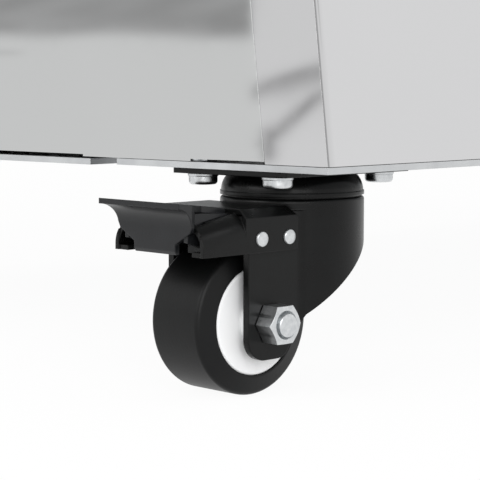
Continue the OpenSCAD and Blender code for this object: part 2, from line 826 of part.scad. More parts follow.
module end_panel() {
    edge = strip_w + panel_gap;
    rotate([90, 0, 90]) {
        linear_extrude(panel_t) mirrored([1, 0]) {
            end_half(edge, panel_z0 + foot_notch);
            translate([-base_d / 2 + tab_in, panel_z0]) square([tab_w, foot_notch + 1]);
        }
        translate([0, 0, panel_t]) linear_extrude(panel_t) mirrored([1, 0])
            end_half(edge - lip_w, panel_z0 + foot_notch + 6);
    }
}

module end_panels() {
    color("#bfc1c3") difference() {
        mirrored([1, 0, 0]) translate([-base_l / 2, 0, 0]) end_panel();
        translate([base_l / 2 - 20, 0, drain_z]) rotate([0, 90, 0])
            cylinder(d = spigot_d + 2 * clear, h = 40);
    }
}

module tank_housing() {
    color("#c6c8ca") difference() {
        translate([0, 0, tank_z])
            basin(body_l, body_d, sheet_z - tank_z, housing_t, housing_t, 6);
        block(ctrl_w - 20, 40, ctrl_h - 16, x = ctrl_x, y = body_d / 2, z = ctrl_z - ctrl_h / 2 + 8);
        translate([drain_x, 0, tank_z - 1]) cylinder(d = spigot_d + 2 * clear, h = 10);
        tube_drops(1);
    }
}

// Where the refrigerant tubes pass down out of the tank
module tube_drops(extra) {
    for (y = [-1, 1])
        translate([-coil_l / 2, y * coil_side, tank_z - 2])
            cylinder(d = tube_d + 2 * extra, h = liner_z - pocket_h - tank_z + 3);
}

module insulation() {
    foam_z = tank_z + housing_t;
    color("#e3d9a8") difference() {
        translate([0, 0, foam_z]) linear_extrude(sheet_z - foam_z)
            round_rect(body_l - 2 * housing_t, body_d - 2 * housing_t, 6 - housing_t);
        translate([0, 0, liner_z]) linear_extrude(liner_h + 1) round_rect(liner_l, liner_d, pan_r);
        translate([0, 0, sheet_z - liner_t]) linear_extrude(5)
            round_rect(liner_l + 2 * liner_flange, liner_d + 2 * liner_flange, pan_r);
        block(pocket_l, pocket_d, pocket_h + 1, z = liner_z - pocket_h);
        block(ctrl_w - 14, ctrl_deep + 6, ctrl_h - 10, x = ctrl_x,
              y = body_d / 2 - housing_t - ctrl_deep / 2, z = ctrl_z - ctrl_h / 2 + 5);
        translate([drain_x, 0, tank_z]) cylinder(d = spigot_d + 2 * clear, h = liner_z);
        tube_drops(1);
    }
}

module tank_liner() {
    color("#d8dadc") difference() {
        union() {
            translate([0, 0, liner_z]) linear_extrude(liner_h) round_rect(liner_l, liner_d, pan_r);
            translate([0, 0, sheet_z - liner_t]) linear_extrude(liner_t)
                round_rect(liner_l + 2 * liner_flange, liner_d + 2 * liner_flange, pan_r);
        }
        translate([0, 0, liner_z + liner_t]) linear_extrude(liner_h)
            round_rect(liner_l - 2 * liner_t, liner_d - 2 * liner_t, pan_r - liner_t);
        translate([drain_x, 0, liner_z - 1]) cylinder(d = drain_d, h = 5);
    }
}

module refrigerant_tube() {
    inlet = -coil_l / 2;
    comp_top = pump_z + 18 + comp_h;
    cond_top = pump_z + cond_h + 2;
    cold_z = tank_z - cold_drop;
    hot_z = cond_top + hot_rise;
    cond_in = fan_x + cond_w / 2 - line_in;
    cond_out = fan_x - cond_w / 2 + line_in;
    color("#b5734a") {
        for (k = [0 : coil_n - 1]) translate([inlet, -coil_side + k * coil_pitch, coil_z])
            rotate([0, 90, 0]) cylinder(d = tube_d, h = coil_l);
        for (k = [0 : coil_n - 2]) {
            turn = k % 2 == 0 ? 1 : -1;
            translate([turn * coil_l / 2, -coil_side + (k + 0.5) * coil_pitch, coil_z])
                rotate([0, 0, -90 * turn]) rotate_extrude(angle = 180)
                translate([coil_pitch / 2, 0]) circle(d = tube_d);
        }
        pipe([[inlet + 1, coil_side, coil_z], [inlet, coil_side, coil_z], [inlet, coil_side, cold_z],
              [comp_x, coil_side, cold_z], [comp_x, 0, cold_z], [comp_x, 0, comp_top]], tube_d);
        pipe([[inlet + 1, -coil_side, coil_z], [inlet, -coil_side, coil_z],
              [inlet, -coil_side, cold_z - 30], [cond_out, -coil_side, cold_z - 30],
              [cond_out, cond_y, cold_z - 30], [cond_out, cond_y, cond_top]], tube_d);
        pipe([[comp_x - 40, 0, comp_top], [comp_x - 40, 0, hot_z], [cond_in, 0, hot_z],
              [cond_in, cond_y, hot_z], [cond_in, cond_y, cond_top]], tube_d);
    }
}

// Outline of the top sheet with its pan opening and its hanging skirt
module top_sheet() {
    difference() {
        translate([0, 0, sheet_z]) linear_extrude(top_t) round_rect(top_l, top_d, 10);
        block(hole_l, hole_d, 4 * top_t, z = sheet_z - top_t);
        for (k = [1 : pan_n - 1])
            block(bar_w + 2 * panel_gap, hole_d + 2 * seat_l, 4 * top_t,
                  x = -row_l / 2 + k * pan_pitch - pan_gap / 2, z = sheet_z - top_t);
    }
    translate([0, 0, top_h - skirt_h]) linear_extrude(skirt_h) difference() {
        round_rect(top_l, top_d, 10);
        round_rect(top_l - 2 * top_t, top_d - 2 * top_t, 10 - top_t);
    }
}

// The top is welded from four folded lengths of sheet: these are the two long ones
module top_frame() {
    side_w = (top_d - hole_d) / 2;
    color("#d3d5d7") for (s = [-1, 1]) intersection() {
        top_sheet();
        block(hole_l, side_w, 2 * skirt_h, y = s * (hole_d + side_w) / 2, z = top_h - skirt_h);
    }
}

// The two end lengths of the top, butted against the long ones at the corners of the opening
module top_ends() {
    end_l = (top_l - hole_l) / 2;
    color("#d3d5d7") for (s = [-1, 1]) intersection() {
        top_sheet();
        block(end_l, top_d, 2 * skirt_h, x = s * (hole_l + end_l) / 2, z = top_h - skirt_h);
    }
}

module crossbars() {
    color("#c9cbcd") for (k = [1 : pan_n - 1])
        translate([-row_l / 2 + k * pan_pitch - pan_gap / 2, 0, 0]) {
            block(bar_w, hole_d + 2 * seat_l - 2 * panel_gap, top_t, z = sheet_z);
            block(bar_w - 6, hole_d - 2 * panel_gap, bar_h, z = top_h - bar_h);
        }
}

module food_pan(k) {
    color("#d9dbdd") translate([-row_l / 2 + pan_w / 2 + (k - 1) * pan_pitch, 0, 0]) difference() {
        union() {
            translate([0, 0, top_h]) linear_extrude(pan_t) round_rect(pan_w, pan_l, 12);
            translate([0, 0, top_h + pan_t - pan_h]) linear_extrude(pan_h)
                round_rect(pan_w - 2 * pan_rim, pan_l - 2 * pan_rim, pan_r);
        }
        translate([0, 0, top_h + 2 * pan_t - pan_h]) linear_extrude(pan_h)
            round_rect(pan_w - 2 * pan_rim - 2 * pan_t, pan_l - 2 * pan_rim - 2 * pan_t, pan_r - pan_t);
    }
}

module guard_posts() {
    color("#d0d2d4") for (s = [-1, 1]) translate([s * post_x, post_y, 0]) {
        translate([0, 0, top_h]) cylinder(d = 1.8 * post_d, h = 4);
        difference() {
            translate([0, 0, top_h]) cylinder(d = post_d, h = lamp_z - top_h);
            translate([0, 0, top_h + 4]) cylinder(d = post_d - 2 * post_wall, h = lamp_z - top_h);
        }
    }
}

// Ring sector of the curved glass, seen along the table
module guard_section() {
    reach = 2 * glass_r;
    middle = (glass_from + glass_to) / 2;
    intersection() {
        difference() {
            circle(glass_r, $fn = 360);
            circle(glass_r - glass_t, $fn = 360);
        }
        polygon([[0, 0], for (a = [glass_from, middle, glass_to]) reach * [cos(a), sin(a)]]);
    }
}

module guard_glass() {
    color([0.75, 0.85, 0.88, 0.4]) translate([-top_l / 2 + glass_in, post_y, glass_z])
        rotate([90, 0, 90]) linear_extrude(top_l - 2 * glass_in) guard_section();
}

module lamp_housing() {
    span = 2 * post_x + post_d;
    color("#b6b8ba") difference() {
        translate([-span / 2, post_y, glass_z]) rotate([90, 0, 90]) linear_extrude(span)
            intersection() {
                translate([-lamp_w / 2, lamp_z - glass_z]) square([lamp_w, lamp_h + 20]);
                circle(saddle_r, $fn = 360);
            }
        block(2 * post_x - 2 * post_d, lamp_w - 8, lamp_h - 10, y = post_y, z = lamp_z - 1);
    }
}

module lamp_lens() {
    color("#f4f4ee") block(2 * post_x - 2 * post_d - 2 * panel_gap, lamp_w - 8 - 2 * panel_gap,
                           lens_t, y = post_y, z = lamp_z);
}

module compressor() {
    foot_l = comp_d + 40;
    color("#26282a") translate([comp_x, 0, pump_z]) {
        for (x = [-1, 1], y = [-1, 1])
            translate([x * (foot_l / 2 - 16), y * (comp_d / 2 - 20), 0]) cylinder(d = 24, h = 15);
        block(foot_l, comp_d - 20, 3, z = 15);
        translate([0, 0, 18]) rotate_extrude() {
            square([comp_d / 2 - 30, comp_h]);
            square([comp_d / 2 - 6, comp_h - 30]);
            translate([0, comp_h / 2 - 3]) square([comp_d / 2, 6]);
            intersection() {
                translate([comp_d / 2 - 36, comp_h - 30]) circle(30);
                square([comp_d, comp_h]);
            }
        }
    }
}

module condenser() {
    fin_pitch = 8;
    fin_n = floor((cond_w - 10) / fin_pitch);
    color("#a9abad") translate([fan_x, cond_y, pump_z]) {
        linear_extrude(cond_h) difference() {
            square([cond_w, cond_d], center = true);
            for (k = [0 : fin_n - 1], s = [-1, 1])
                translate([(k + 0.5 - fin_n / 2) * fin_pitch, s * (cond_d / 4 + 2)])
                    square([fin_pitch - 1.2, cond_d / 2 - 2], center = true);
        }
        block(cond_w + 4, cond_d + 4, 2, z = cond_h);
    }
}

// Places a piece on the fan axis, with local z away from the condenser face
module fan_axis() {
    translate([fan_x, cond_y - cond_d / 2, fan_z]) rotate([90, 0, 0]) children();
}

module fan_shroud() {
    side = fan_d + 2 * shroud_rim;
    throat = fan_d + 2 * tip_gap;
    color("#3b3d40") fan_axis() {
        linear_extrude(shroud_h) difference() {
            circle(d = throat + 2 * shroud_wall);
            circle(d = throat);
        }
        linear_extrude(shroud_t) difference() {
            square([side, side], center = true);
            circle(d = throat);
        }
        translate([0, 0, shroud_h]) difference() {
            union() {
                cylinder(d = motor_d, h = motor_l);
                for (a = [0 : 120 : 240]) rotate([0, 0, a])
                    translate([0, -arm_w / 2, 0]) cube([throat / 2 + shroud_wall, arm_w, shroud_wall]);
            }
            translate([0, 0, -1]) cylinder(d = shaft_d + 2 * fit, h = shaft_seat + 1);
        }
    }
}

module fan_rotor() {
    pitch_angle = 28;
    color("#4a4d50") fan_axis() translate([0, 0, 10]) {
        cylinder(d = 48, h = 28);
        cylinder(d = shaft_d, h = shroud_h + 5);
        for (k = [0 : blade_n - 1]) rotate([0, 0, 360 * k / blade_n])
            translate([20, 0, 13]) rotate([pitch_angle, 0, 0]) translate([0, -fan_d / 7, 0])
                cube([fan_d / 2 - 24, fan_d / 3.5, 1.6]);
    }
}

module control_panel() {
    color("#33363a") difference() {
        union() {
            block(ctrl_w, ctrl_t, ctrl_h, x = ctrl_x, y = body_d / 2 + ctrl_t / 2,
                  z = ctrl_z - ctrl_h / 2);
            block(ctrl_w - 24, ctrl_deep + eps, ctrl_h - 20, x = ctrl_x,
                  y = body_d / 2 - ctrl_deep / 2, z = ctrl_z - ctrl_h / 2 + 10);
        }
        translate([switch_x - switch_w / 2 - clear, switch_y, ctrl_z]) rotate([0, 90, 0])
            cylinder(r = switch_r + clear, h = switch_w + 2 * clear);
        translate([switch_x - switch_w / 2 - 4, switch_y, ctrl_z]) rotate([0, 90, 0])
            cylinder(d = 3 + 2 * fit, h = switch_w + 8);
        translate([knob_x, ctrl_face, ctrl_z]) rod_y(8 + 2 * fit, -18, 1);
    }
}

module power_switch() {
    color("#1c7a3c") translate([switch_x - switch_w / 2, switch_y, ctrl_z]) {
        rotate([90, 0, 90]) linear_extrude(switch_w) rotate(-8) difference() {
            circle(switch_r);
            polygon([[switch_r - 5, 0], [switch_r + 5, 24], [switch_r + 5, -24]]);
        }
        translate([-3, 0, 0]) rotate([0, 90, 0]) cylinder(d = 3, h = switch_w + 6);
    }
}

module thermostat_knob() {
    color("#202224") translate([knob_x, ctrl_face, ctrl_z]) {
        rod_y(8, -16, 2);
        difference() {
            rod_y(knob_d, clear, 14);
            translate([-1, 11, knob_d / 2 - 12]) cube([2, 10, 20]);
        }
    }
}

module drain_valve() {
    neck_x = valve_x + valve_l / 2 + neck_l;
    mouth_x = neck_x + spigot_l;
    color("#c2a24c") difference() {
        union() {
            pipe([[drain_x, 0, liner_z - 0.2], [drain_x, 0, drain_z], [mouth_x, 0, drain_z]], pipe_d);
            translate([neck_x, 0, drain_z]) rotate([0, 90, 0]) cylinder(d = spigot_d, h = spigot_l);
            translate([valve_x - valve_l / 2, 0, drain_z]) rotate([0, 90, 0])
                cylinder(d = spigot_d + 2 * valve_wall, h = valve_l);
            translate([valve_x, 0, drain_z])
                cylinder(d = post_stem_d, h = lever_z - drain_z - panel_gap);
            translate([valve_x, 0, drain_z]) cylinder(d = stem_d, h = lever_z - drain_z + lever_t + 1);
            translate([valve_x, 0, lever_z + lever_t + panel_gap])
                cylinder(d = stem_head_d, h = stem_head_h);
        }
        pipe([[drain_x, 0, liner_z + 10], [drain_x, 0, drain_z], [mouth_x + 1, 0, drain_z]],
             drain_d - 2);
    }
}

module drain_lever() {
    color("#b3282d") translate([valve_x, 0, lever_z]) difference() {
        union() {
            cylinder(d = 14, h = lever_t);
            translate([-6, 0, 0]) cube([12, lever_l, 3]);
        }
        translate([0, 0, -1]) cylinder(d = stem_d + 2 * fit, h = lever_t + 2);
    }
}

module cable_gland() {
    color("#2a2b2d") translate([gland_x, base_d / 2 - (gland_z - panel_z0) * tan(lean), gland_z])
        rotate([-90 + lean, 0, 0]) difference() {
            union() {
                cylinder(d = 28 / cos(30), h = 6, $fn = 6);
                cylinder(d = 24, h = 18);
                translate([0, 0, -12]) cylinder(d = 20 - 2 * fit, h = 14);
                translate([0, 0, -panel_t / cos(lean) - 5.2]) cylinder(d = 28 / cos(30), h = 5, $fn = 6);
            }
            translate([0, 0, -20]) cylinder(d = 10, h = 50);
        }
}

square_caster(FL) caster_plate();  // caster_fl_plate
caster(FL) caster_yoke();  // caster_fl_yoke
caster(FL) caster_axle();  // caster_fl_axle
caster(FL) caster_hub();  // caster_fl_hub
caster(FL) caster_tyre();  // caster_fl_tyre
caster(FL) brake_housing();  // caster_fl_brake_housing
caster(FL) brake_rivets();  // caster_fl_rivets
caster(FL) brake_pedal();  // caster_fl_pedal
caster(FL) brake_shoe();  // caster_fl_shoe
square_caster(FR) caster_plate();  // caster_fr_plate
caster(FR) caster_yoke();  // caster_fr_yoke
caster(FR) caster_axle();  // caster_fr_axle
caster(FR) caster_hub();  // caster_fr_hub
caster(FR) caster_tyre();  // caster_fr_tyre
caster(FR) brake_housing();  // caster_fr_brake_housing
caster(FR) brake_rivets();  // caster_fr_rivets
caster(FR) brake_pedal();  // caster_fr_pedal
caster(FR) brake_shoe();  // caster_fr_shoe
square_caster(RL) caster_plate();  // caster_rl_plate
caster(RL) caster_yoke();  // caster_rl_yoke
caster(RL) caster_axle();  // caster_rl_axle
caster(RL) caster_hub();  // caster_rl_hub
caster(RL) caster_tyre();  // caster_rl_tyre
square_caster(RR) caster_plate();  // caster_rr_plate
caster(RR) caster_yoke();  // caster_rr_yoke
caster(RR) caster_axle();  // caster_rr_axle
caster(RR) caster_hub();  // caster_rr_hub
caster(RR) caster_tyre();  // caster_rr_tyre
swivel_balls();
caster_bolts();
base_rails();
base_tray();
front_panel();
rear_panel();
end_panels();
tank_housing();
insulation();
tank_liner();
refrigerant_tube();
top_frame();
top_ends();
crossbars();
food_pan(1);  // food_pan_1
food_pan(2);  // food_pan_2
food_pan(3);  // food_pan_3
food_pan(4);  // food_pan_4
guard_posts();
guard_glass();
lamp_housing();
lamp_lens();
compressor();
condenser();
fan_shroud();
fan_rotor();
control_panel();
power_switch();
thermostat_knob();
drain_valve();
drain_lever();
cable_gland();
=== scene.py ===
# %% [markdown]
# # Refrigerated buffet table
# This lesson dresses a long refrigerated buffet table. The solids come from the imported model, which stays
# the frame: every piece here is placed in the same metres. First the frame is loaded.

# %% Load the frame
import math
import bmesh
import bpy
import numpy as np
from mathutils import Matrix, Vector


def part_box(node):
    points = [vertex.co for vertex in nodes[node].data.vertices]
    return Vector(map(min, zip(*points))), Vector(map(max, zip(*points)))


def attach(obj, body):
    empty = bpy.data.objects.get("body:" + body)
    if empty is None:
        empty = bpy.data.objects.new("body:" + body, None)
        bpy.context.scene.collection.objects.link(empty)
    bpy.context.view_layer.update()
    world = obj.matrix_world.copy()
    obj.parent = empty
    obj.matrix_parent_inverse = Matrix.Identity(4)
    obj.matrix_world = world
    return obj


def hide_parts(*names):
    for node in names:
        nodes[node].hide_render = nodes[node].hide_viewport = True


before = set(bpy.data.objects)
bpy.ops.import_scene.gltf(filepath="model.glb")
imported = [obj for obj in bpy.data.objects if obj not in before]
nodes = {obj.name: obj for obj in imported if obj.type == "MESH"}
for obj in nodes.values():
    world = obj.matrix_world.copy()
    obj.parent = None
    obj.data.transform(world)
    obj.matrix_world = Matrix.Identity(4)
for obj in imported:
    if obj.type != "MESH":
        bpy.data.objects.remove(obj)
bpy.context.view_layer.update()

# %% [markdown]
# ## Camera
# The photograph is a close view of one corner from low down with a long lens, so upright edges stay upright.
# The position and the direction were fitted to the caster's known sizes: plate, wheel, fork and pedal. The
# lens has no shift and no depth of field. A camera looks along its own -Z, and so does a lamp, so one
# function serves both.

# %% Camera
CAMERA_AT = (-1.23103, -0.81618, 0.15778)
CAMERA_LOOK = (0.7198, 0.6875, -0.0955)
LENS_MM = 121.5
SENSOR_MM = 36.0
PICTURE_PX = 480


def facing(place, look):
    """Matrix of an object at place whose -Z looks along look with its X level, and its view axes."""
    ahead = np.array(look, float) / np.linalg.norm(look)
    side = np.cross(ahead, (0.0, 0.0, 1.0))
    side /= np.linalg.norm(side)
    over = np.cross(side, ahead)
    turn = np.eye(4)
    turn[:3, 0], turn[:3, 1], turn[:3, 2], turn[:3, 3] = side, over, -ahead, place
    return Matrix(turn.tolist()), ahead, side, over


lens = bpy.data.cameras.new("photo_camera")
lens.lens = LENS_MM
lens.sensor_width = SENSOR_MM
lens.clip_start = 0.02
camera = bpy.data.objects.new("photo_camera", lens)
bpy.context.scene.collection.objects.link(camera)
camera.matrix_world, forward, right, up = facing(CAMERA_AT, CAMERA_LOOK)
bpy.context.scene.camera = camera
print("camera at", CAMERA_AT, "lens", LENS_MM, "mm")

# %% [markdown]
# ## Colours and nodes
# Colours are written as the sRGB hex values that a picture editor shows. Cycles works in linear light, so
# one function turns them. A second small function adds a shader node, sets it up and links it. The others
# are the steps that most materials here share: a noise, two tones of it, rounded edges with a fine relief,
# and the Principled shader that takes them.

# %% Helpers for materials
def colour(text):
    """Linear RGBA of an sRGB hex text. Each channel c is c / 12.92 when small, and otherwise
    ((c + 0.055) / 1.055) ** 2.4."""
    srgb = np.array([int(text[i:i + 2], 16) for i in (1, 3, 5)]) / 255.0
    linear = np.where(srgb <= 0.04045, srgb / 12.92, ((srgb + 0.055) / 1.055) ** 2.4)
    return (*[float(v) for v in linear], 1.0)


def add(tree, kind, sockets=None, **settings):
    """Adds a node. settings are its own values, and sockets maps an input's name or number to a value or to
    another node's output."""
    made = tree.nodes.new(kind)
    for key, value in settings.items():
        setattr(made, key, value)
    for key, value in (sockets or {}).items():
        if isinstance(value, bpy.types.NodeSocket):
            tree.links.new(value, made.inputs[key])
        else:
            made.inputs[key].default_value = value
    return made


def new_material(name):
    """An empty node material with its output, and the tree to fill."""
    made = bpy.data.materials.new(name)
    made.use_nodes = True
    made.node_tree.nodes.clear()
    print("material", name)
    return made, made.node_tree, add(made.node_tree, "ShaderNodeOutputMaterial")


def object_place(tree):
    """The Object coordinates, so that a pattern stays on its piece when the piece moves."""
    return add(tree, "ShaderNodeTexCoord").outputs["Object"]


def ramp(tree, factor, stops):
    """Colour over a factor, by stops of (position, hex colour)."""
    made = add(tree, "ShaderNodeValToRGB", {"Fac": factor})
    strip = made.color_ramp.elements
    strip[0].position, strip[0].color = stops[0][0], colour(stops[0][1])
    strip[1].position, strip[1].color = stops[-1][0], colour(stops[-1][1])
    for place, text in stops[1:-1]:
        strip.new(place).color = colour(text)
    return made.outputs["Color"]


def noise(tree, place, scale, detail, roughness=0.5):
    """Factor of a noise at a place."""
    return add(tree, "ShaderNodeTexNoise", {"Vector": place, "Scale": scale, "Detail": detail,
                                            "Roughness": roughness}).outputs["Fac"]


def two_tone(tree, factor, dark, light):
    """Colour that drifts from dark to light over the middle of a noise."""
    return ramp(tree, factor, [(0.3, dark), (0.7, light)])


def spread(tree, factor, low, high, start=0.0, end=1.0):
    """Value that goes from low to high while the factor goes from start to end."""
    return add(tree, "ShaderNodeMapRange", {"Value": factor, "From Min": start, "From Max": end,
                                            "To Min": low, "To Max": high}).outputs["Result"]


def relief(tree, edge_mm, height, strength, distance, samples=4):
    """Normal with the edges rounded by Bevel, then tilted by Bump over a height."""
    rim = add(tree, "ShaderNodeBevel", {"Radius": edge_mm / 1000.0}, samples=samples)
    return add(tree, "ShaderNodeBump", {"Height": height, "Strength": strength, "Distance": distance,
                                        "Normal": rim.outputs["Normal"]}).outputs["Normal"]


def principled(tree, output, sockets):
    """Principled shader on the material's output."""
    shader = add(tree, "ShaderNodeBsdfPrincipled", sockets)
    tree.links.new(shader.outputs["BSDF"], output.inputs["Surface"])


def paint(names, material):
    """Gives CAD nodes one material."""
    for name in names:
        mesh = nodes[name].data
        mesh.materials.clear()
        mesh.materials.append(material)
        for face in mesh.polygons:
            face.material_index = 0


print("mid grey in linear light:", np.round(colour("#808080"), 3))

# %% [markdown]
# ## Black coated steel
# The caster's pressed parts are deep-drawn mild steel with a thin black electro-coat. The film is a deep
# glossy black with a faint orange peel about a millimetre across, so it shows the room as soft highlights.
# The sheet's cut edges are slightly rounded, which catches light along every rim: the Bevel node rounds the
# shading there without changing the shape.

# %% Black coated steel
CASTERS = ("fl", "fr", "rl", "rr")
BRAKED = ("fl", "fr")


def coated_steel(name, dark, light, roughness, edge_mm, shine=0.5):
    """Coat with a gloss that varies slowly and a fine orange peel."""
    material, tree, output = new_material(name)
    place = object_place(tree)
    cloud = noise(tree, place, 60.0, 3.0, 0.55)
    peel = noise(tree, place, 900.0, 2.0)
    principled(tree, output, {
        "Base Color": two_tone(tree, cloud, dark, light), "IOR": 1.5, "Specular IOR Level": shine,
        "Roughness": spread(tree, cloud, roughness - 0.05, roughness + 0.06),
        "Normal": relief(tree, edge_mm, peel, 0.12, 0.0003, samples=6)})
    return material


black_coat = coated_steel("black_electro_coat", "#090909", "#0d0e0e", 0.28, 0.9, 0.2)
# the pedal has the same black coat; this lighter copy is painted light for the brighter light the pedal
# catches
pedal_lit_coat = coated_steel("black_coat_lit_pedal", "#141517", "#1a1b1d", 0.3, 0.9, 0.3)
paint([f"caster_{c}_{part}" for c in CASTERS for part in ("plate", "yoke")], black_coat)
paint([f"caster_{c}_brake_housing" for c in BRAKED], black_coat)
paint([f"caster_{c}_pedal" for c in BRAKED], pedal_lit_coat)

# %% [markdown]
# ## Zinc-plated steel
# Nuts, bolts, rivets and balls are turned or cold-headed steel with a bright zinc plating, which is a metal
# finish: a light grey base colour, fully metallic, rough enough to blur reflections. One function makes every
# plain metal, because only its colour, its grain and its roughness change.

# %% Plain metals
def plain_metal(name, dark, light, roughness, scale, edge_mm=0.3, strength=0.1, stretch=(1.0, 1.0, 1.0)):
    """Metal with a grain of the given scale, drawn out along an axis where stretch is small."""
    material, tree, output = new_material(name)
    place = object_place(tree)
    grain = add(tree, "ShaderNodeMapping", {"Vector": place, "Scale": stretch}).outputs["Vector"]
    cloud = noise(tree, grain, scale, 4.0, 0.6)
    principled(tree, output, {
        "Base Color": two_tone(tree, cloud, dark, light), "Metallic": 1.0,
        "Roughness": spread(tree, cloud, roughness - 0.06, roughness + 0.06),
        "Normal": relief(tree, edge_mm, cloud, strength, 0.0002)})
    return material


zinc = plain_metal("zinc_plated_steel", "#c3c6c8", "#dcdedf", 0.3, 400.0)
paint([f"caster_{c}_axle" for c in CASTERS] + [f"caster_{c}_rivets" for c in BRAKED], zinc)
paint(["swivel_balls", "caster_bolts"], zinc)

# %% [markdown]
# ## Stainless steel
# The cabinet is 304 stainless sheet, polished until it mirrors the room. A sheet is never quite flat: slow
# waves about a fifth of a metre long and some hundredths of a millimetre high bend what it mirrors. Noise on
# Object coordinates gives the height and Bump turns it. Where a sheet is folded at the table's ends, two fine
# dark lines of painted shade are darkened into its colour along the bend. The base sheets keep a duller mill
# finish, and so do the drawn pans. The cell also holds the other plain metals: copper, brass and aluminium.

# %% Stainless steel and other metals
PANEL_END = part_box("end_panels")[1][0]
# width and fade heights of the painted shade along the folds
FOLD_SHADE_BAND = 0.0062
FOLD_SHADE_FADE = (0.17, 0.24)


def math_node(tree, operation, first, second=0.0):
    """Result of one operation on two values."""
    return add(tree, "ShaderNodeMath", {0: first, 1: second}, operation=operation).outputs["Value"]


def darken(tree, share, tone, shade):
    """tone times shade, by a share."""
    return add(tree, "ShaderNodeMix", {0: share, 6: tone, 7: shade}, data_type="RGBA",
               blend_type="MULTIPLY").outputs[2]


def fold_shade_lines(tree, place, tone):
    """Paints shade along the upright folds at the table's ends by darkening tone. The distance from the end
    plane is the end less |x|. Ramps over the first FOLD_SHADE_BAND metres give a painted dark line at the
    bend and a second one about three millimetres in, which fades out towards the foot between the heights of
    FOLD_SHADE_FADE."""
    split = add(tree, "ShaderNodeSeparateXYZ", {0: place})
    away = math_node(tree, "SUBTRACT", PANEL_END, math_node(tree, "ABSOLUTE", split.outputs["X"]))
    share = math_node(tree, "DIVIDE", away, FOLD_SHADE_BAND)
    first = ramp(tree, share, [(0.0, "#ffffff"), (0.004, "#ffffff"), (0.01, "#b2b2b2"), (0.17, "#bebebe"),
                               (0.26, "#f2f2f2"), (1.0, "#ffffff")])
    second = ramp(tree, share, [(0.0, "#ffffff"), (0.38, "#ffffff"), (0.44, "#b0b0b0"), (0.52, "#b0b0b0"),
                                (0.6, "#ffffff"), (1.0, "#ffffff")])
    height = spread(tree, split.outputs["Z"], 0.0, 1.0, *FOLD_SHADE_FADE)
    return darken(tree, height, darken(tree, 1.0, tone, first), second)


def polished_steel(name, dark, light, roughness, waves_mm, edge_mm=0.1, folded=False):
    """Mirror finish with a slow haze and slow waves, and with painted fold shade where it is folded."""
    material, tree, output = new_material(name)
    place = object_place(tree)
    tone = two_tone(tree, noise(tree, place, 7.0, 2.0), dark, light)
    # painted shade: two dark lines along the fold are darkened into the tone
    if folded:
        tone = fold_shade_lines(tree, place, tone)
    haze = noise(tree, place, 25.0, 4.0, 0.6)
    wave = noise(tree, place, 5.0, 1.0)
    principled(tree, output, {
        "Base Color": tone, "Metallic": 1.0,
        "Roughness": spread(tree, haze, roughness, roughness + 0.03, 0.3, 0.7),
        "Normal": relief(tree, edge_mm, wave, 1.0, waves_mm / 1000.0)})
    return material


panel_steel = polished_steel("polished_stainless_panel", "#cfd0d0", "#d1d2d2", 0.03, 0.06, 0.35)
long_steel = polished_steel("polished_stainless_long", "#d1d1d2", "#d3d3d4", 0.03, 0.06, folded=True)
base_steel = plain_metal("mill_finish_stainless", "#c2c4c6", "#d0d2d3", 0.36, 60.0, 0.3, 0.05)
pan_steel = plain_metal("drawn_stainless_pan", "#cdcfd1", "#dcdddf", 0.24, 90.0, 0.3, 0.06)
paint(["end_panels", "guard_posts"], panel_steel)
paint(["front_panel", "rear_panel", "tank_housing", "tank_liner"], long_steel)
paint(["top_frame", "top_ends", "crossbars"], long_steel)
paint(["base_rails", "base_tray"], base_steel)
paint([f"food_pan_{k}" for k in (1, 2, 3, 4)], pan_steel)

copper = plain_metal("drawn_copper_tube", "#b87350", "#c98763", 0.32, 200.0)
brass = plain_metal("cast_brass", "#b8975a", "#cdae6c", 0.34, 300.0, 0.5, 0.3)
aluminium = plain_metal("extruded_aluminium", "#b9bbbd", "#c8cacb", 0.36, 90.0, 0.3, 0.08, (0.05, 1.0, 1.0))
paint(["refrigerant_tube"], copper)
paint(["drain_valve"], brass)
paint(["lamp_housing", "condenser"], aluminium)

# %% [markdown]
# ## Plastics, rubber, foam and paint
# The hub is moulded white nylon, the tyre a black cast polyurethane with a dull skin, and the controls are
# moulded ABS with a fine spark-eroded grain. One function makes them all, as for the metals.

# %% Plastics, rubber, foam and paint
def moulded(name, dark, light, roughness, scale, strength, **extra):
    """Moulded skin with a fine grain. extra holds more inputs of the shader."""
    material, tree, output = new_material(name)
    place = object_place(tree)
    grain = noise(tree, place, scale, 2.0)
    principled(tree, output, {
        "Base Color": two_tone(tree, noise(tree, place, 35.0, 3.0), dark, light), "Roughness": roughness,
        "Normal": relief(tree, 0.4, grain, strength, 0.0003), **extra})
    return material


nylon = moulded("moulded_white_nylon", "#eeeff0", "#f4f4f4", 0.42, 900.0, 0.05, IOR=1.53)
tyre = moulded("black_polyurethane_tyre", "#0b0b0c", "#101111", 0.4, 700.0, 0.15,
               **{"Specular IOR Level": 0.2})
rubber = moulded("black_rubber_shoe", "#222324", "#2b2c2d", 0.7, 700.0, 0.3)
abs_black = moulded("moulded_black_abs", "#26282a", "#303234", 0.5, 1400.0, 0.25)
paint([f"caster_{c}_hub" for c in CASTERS], nylon)
paint([f"caster_{c}_tyre" for c in CASTERS], tyre)
paint([f"caster_{c}_shoe" for c in BRAKED], rubber)
paint(["fan_shroud", "fan_rotor", "control_panel", "thermostat_knob", "cable_gland"], abs_black)
paint(["power_switch"], moulded("green_translucent_polycarbonate", "#137a37", "#1c8c45", 0.25, 500.0, 0.02))
paint(["lamp_lens"], moulded("opal_acrylic", "#f1f1ea", "#f6f6f0", 0.3, 500.0, 0.02))
paint(["insulation"], moulded("polyurethane_foam", "#dccf9e", "#e9dfb6", 0.9, 300.0, 0.8))
paint(["compressor"], coated_steel("black_enamel_pot", "#1c1d1f", "#242628", 0.32, 1.0))
paint(["drain_lever"], coated_steel("red_dipped_steel", "#a8262c", "#b83238", 0.35, 0.8))

# %% [markdown]
# ## Guard glass
# The sneeze guard is a bent sheet of float glass, slightly green from the iron in it. The solid is a closed
# sheet with its real thickness, so plain transmission with the index of glass bends light as it should.

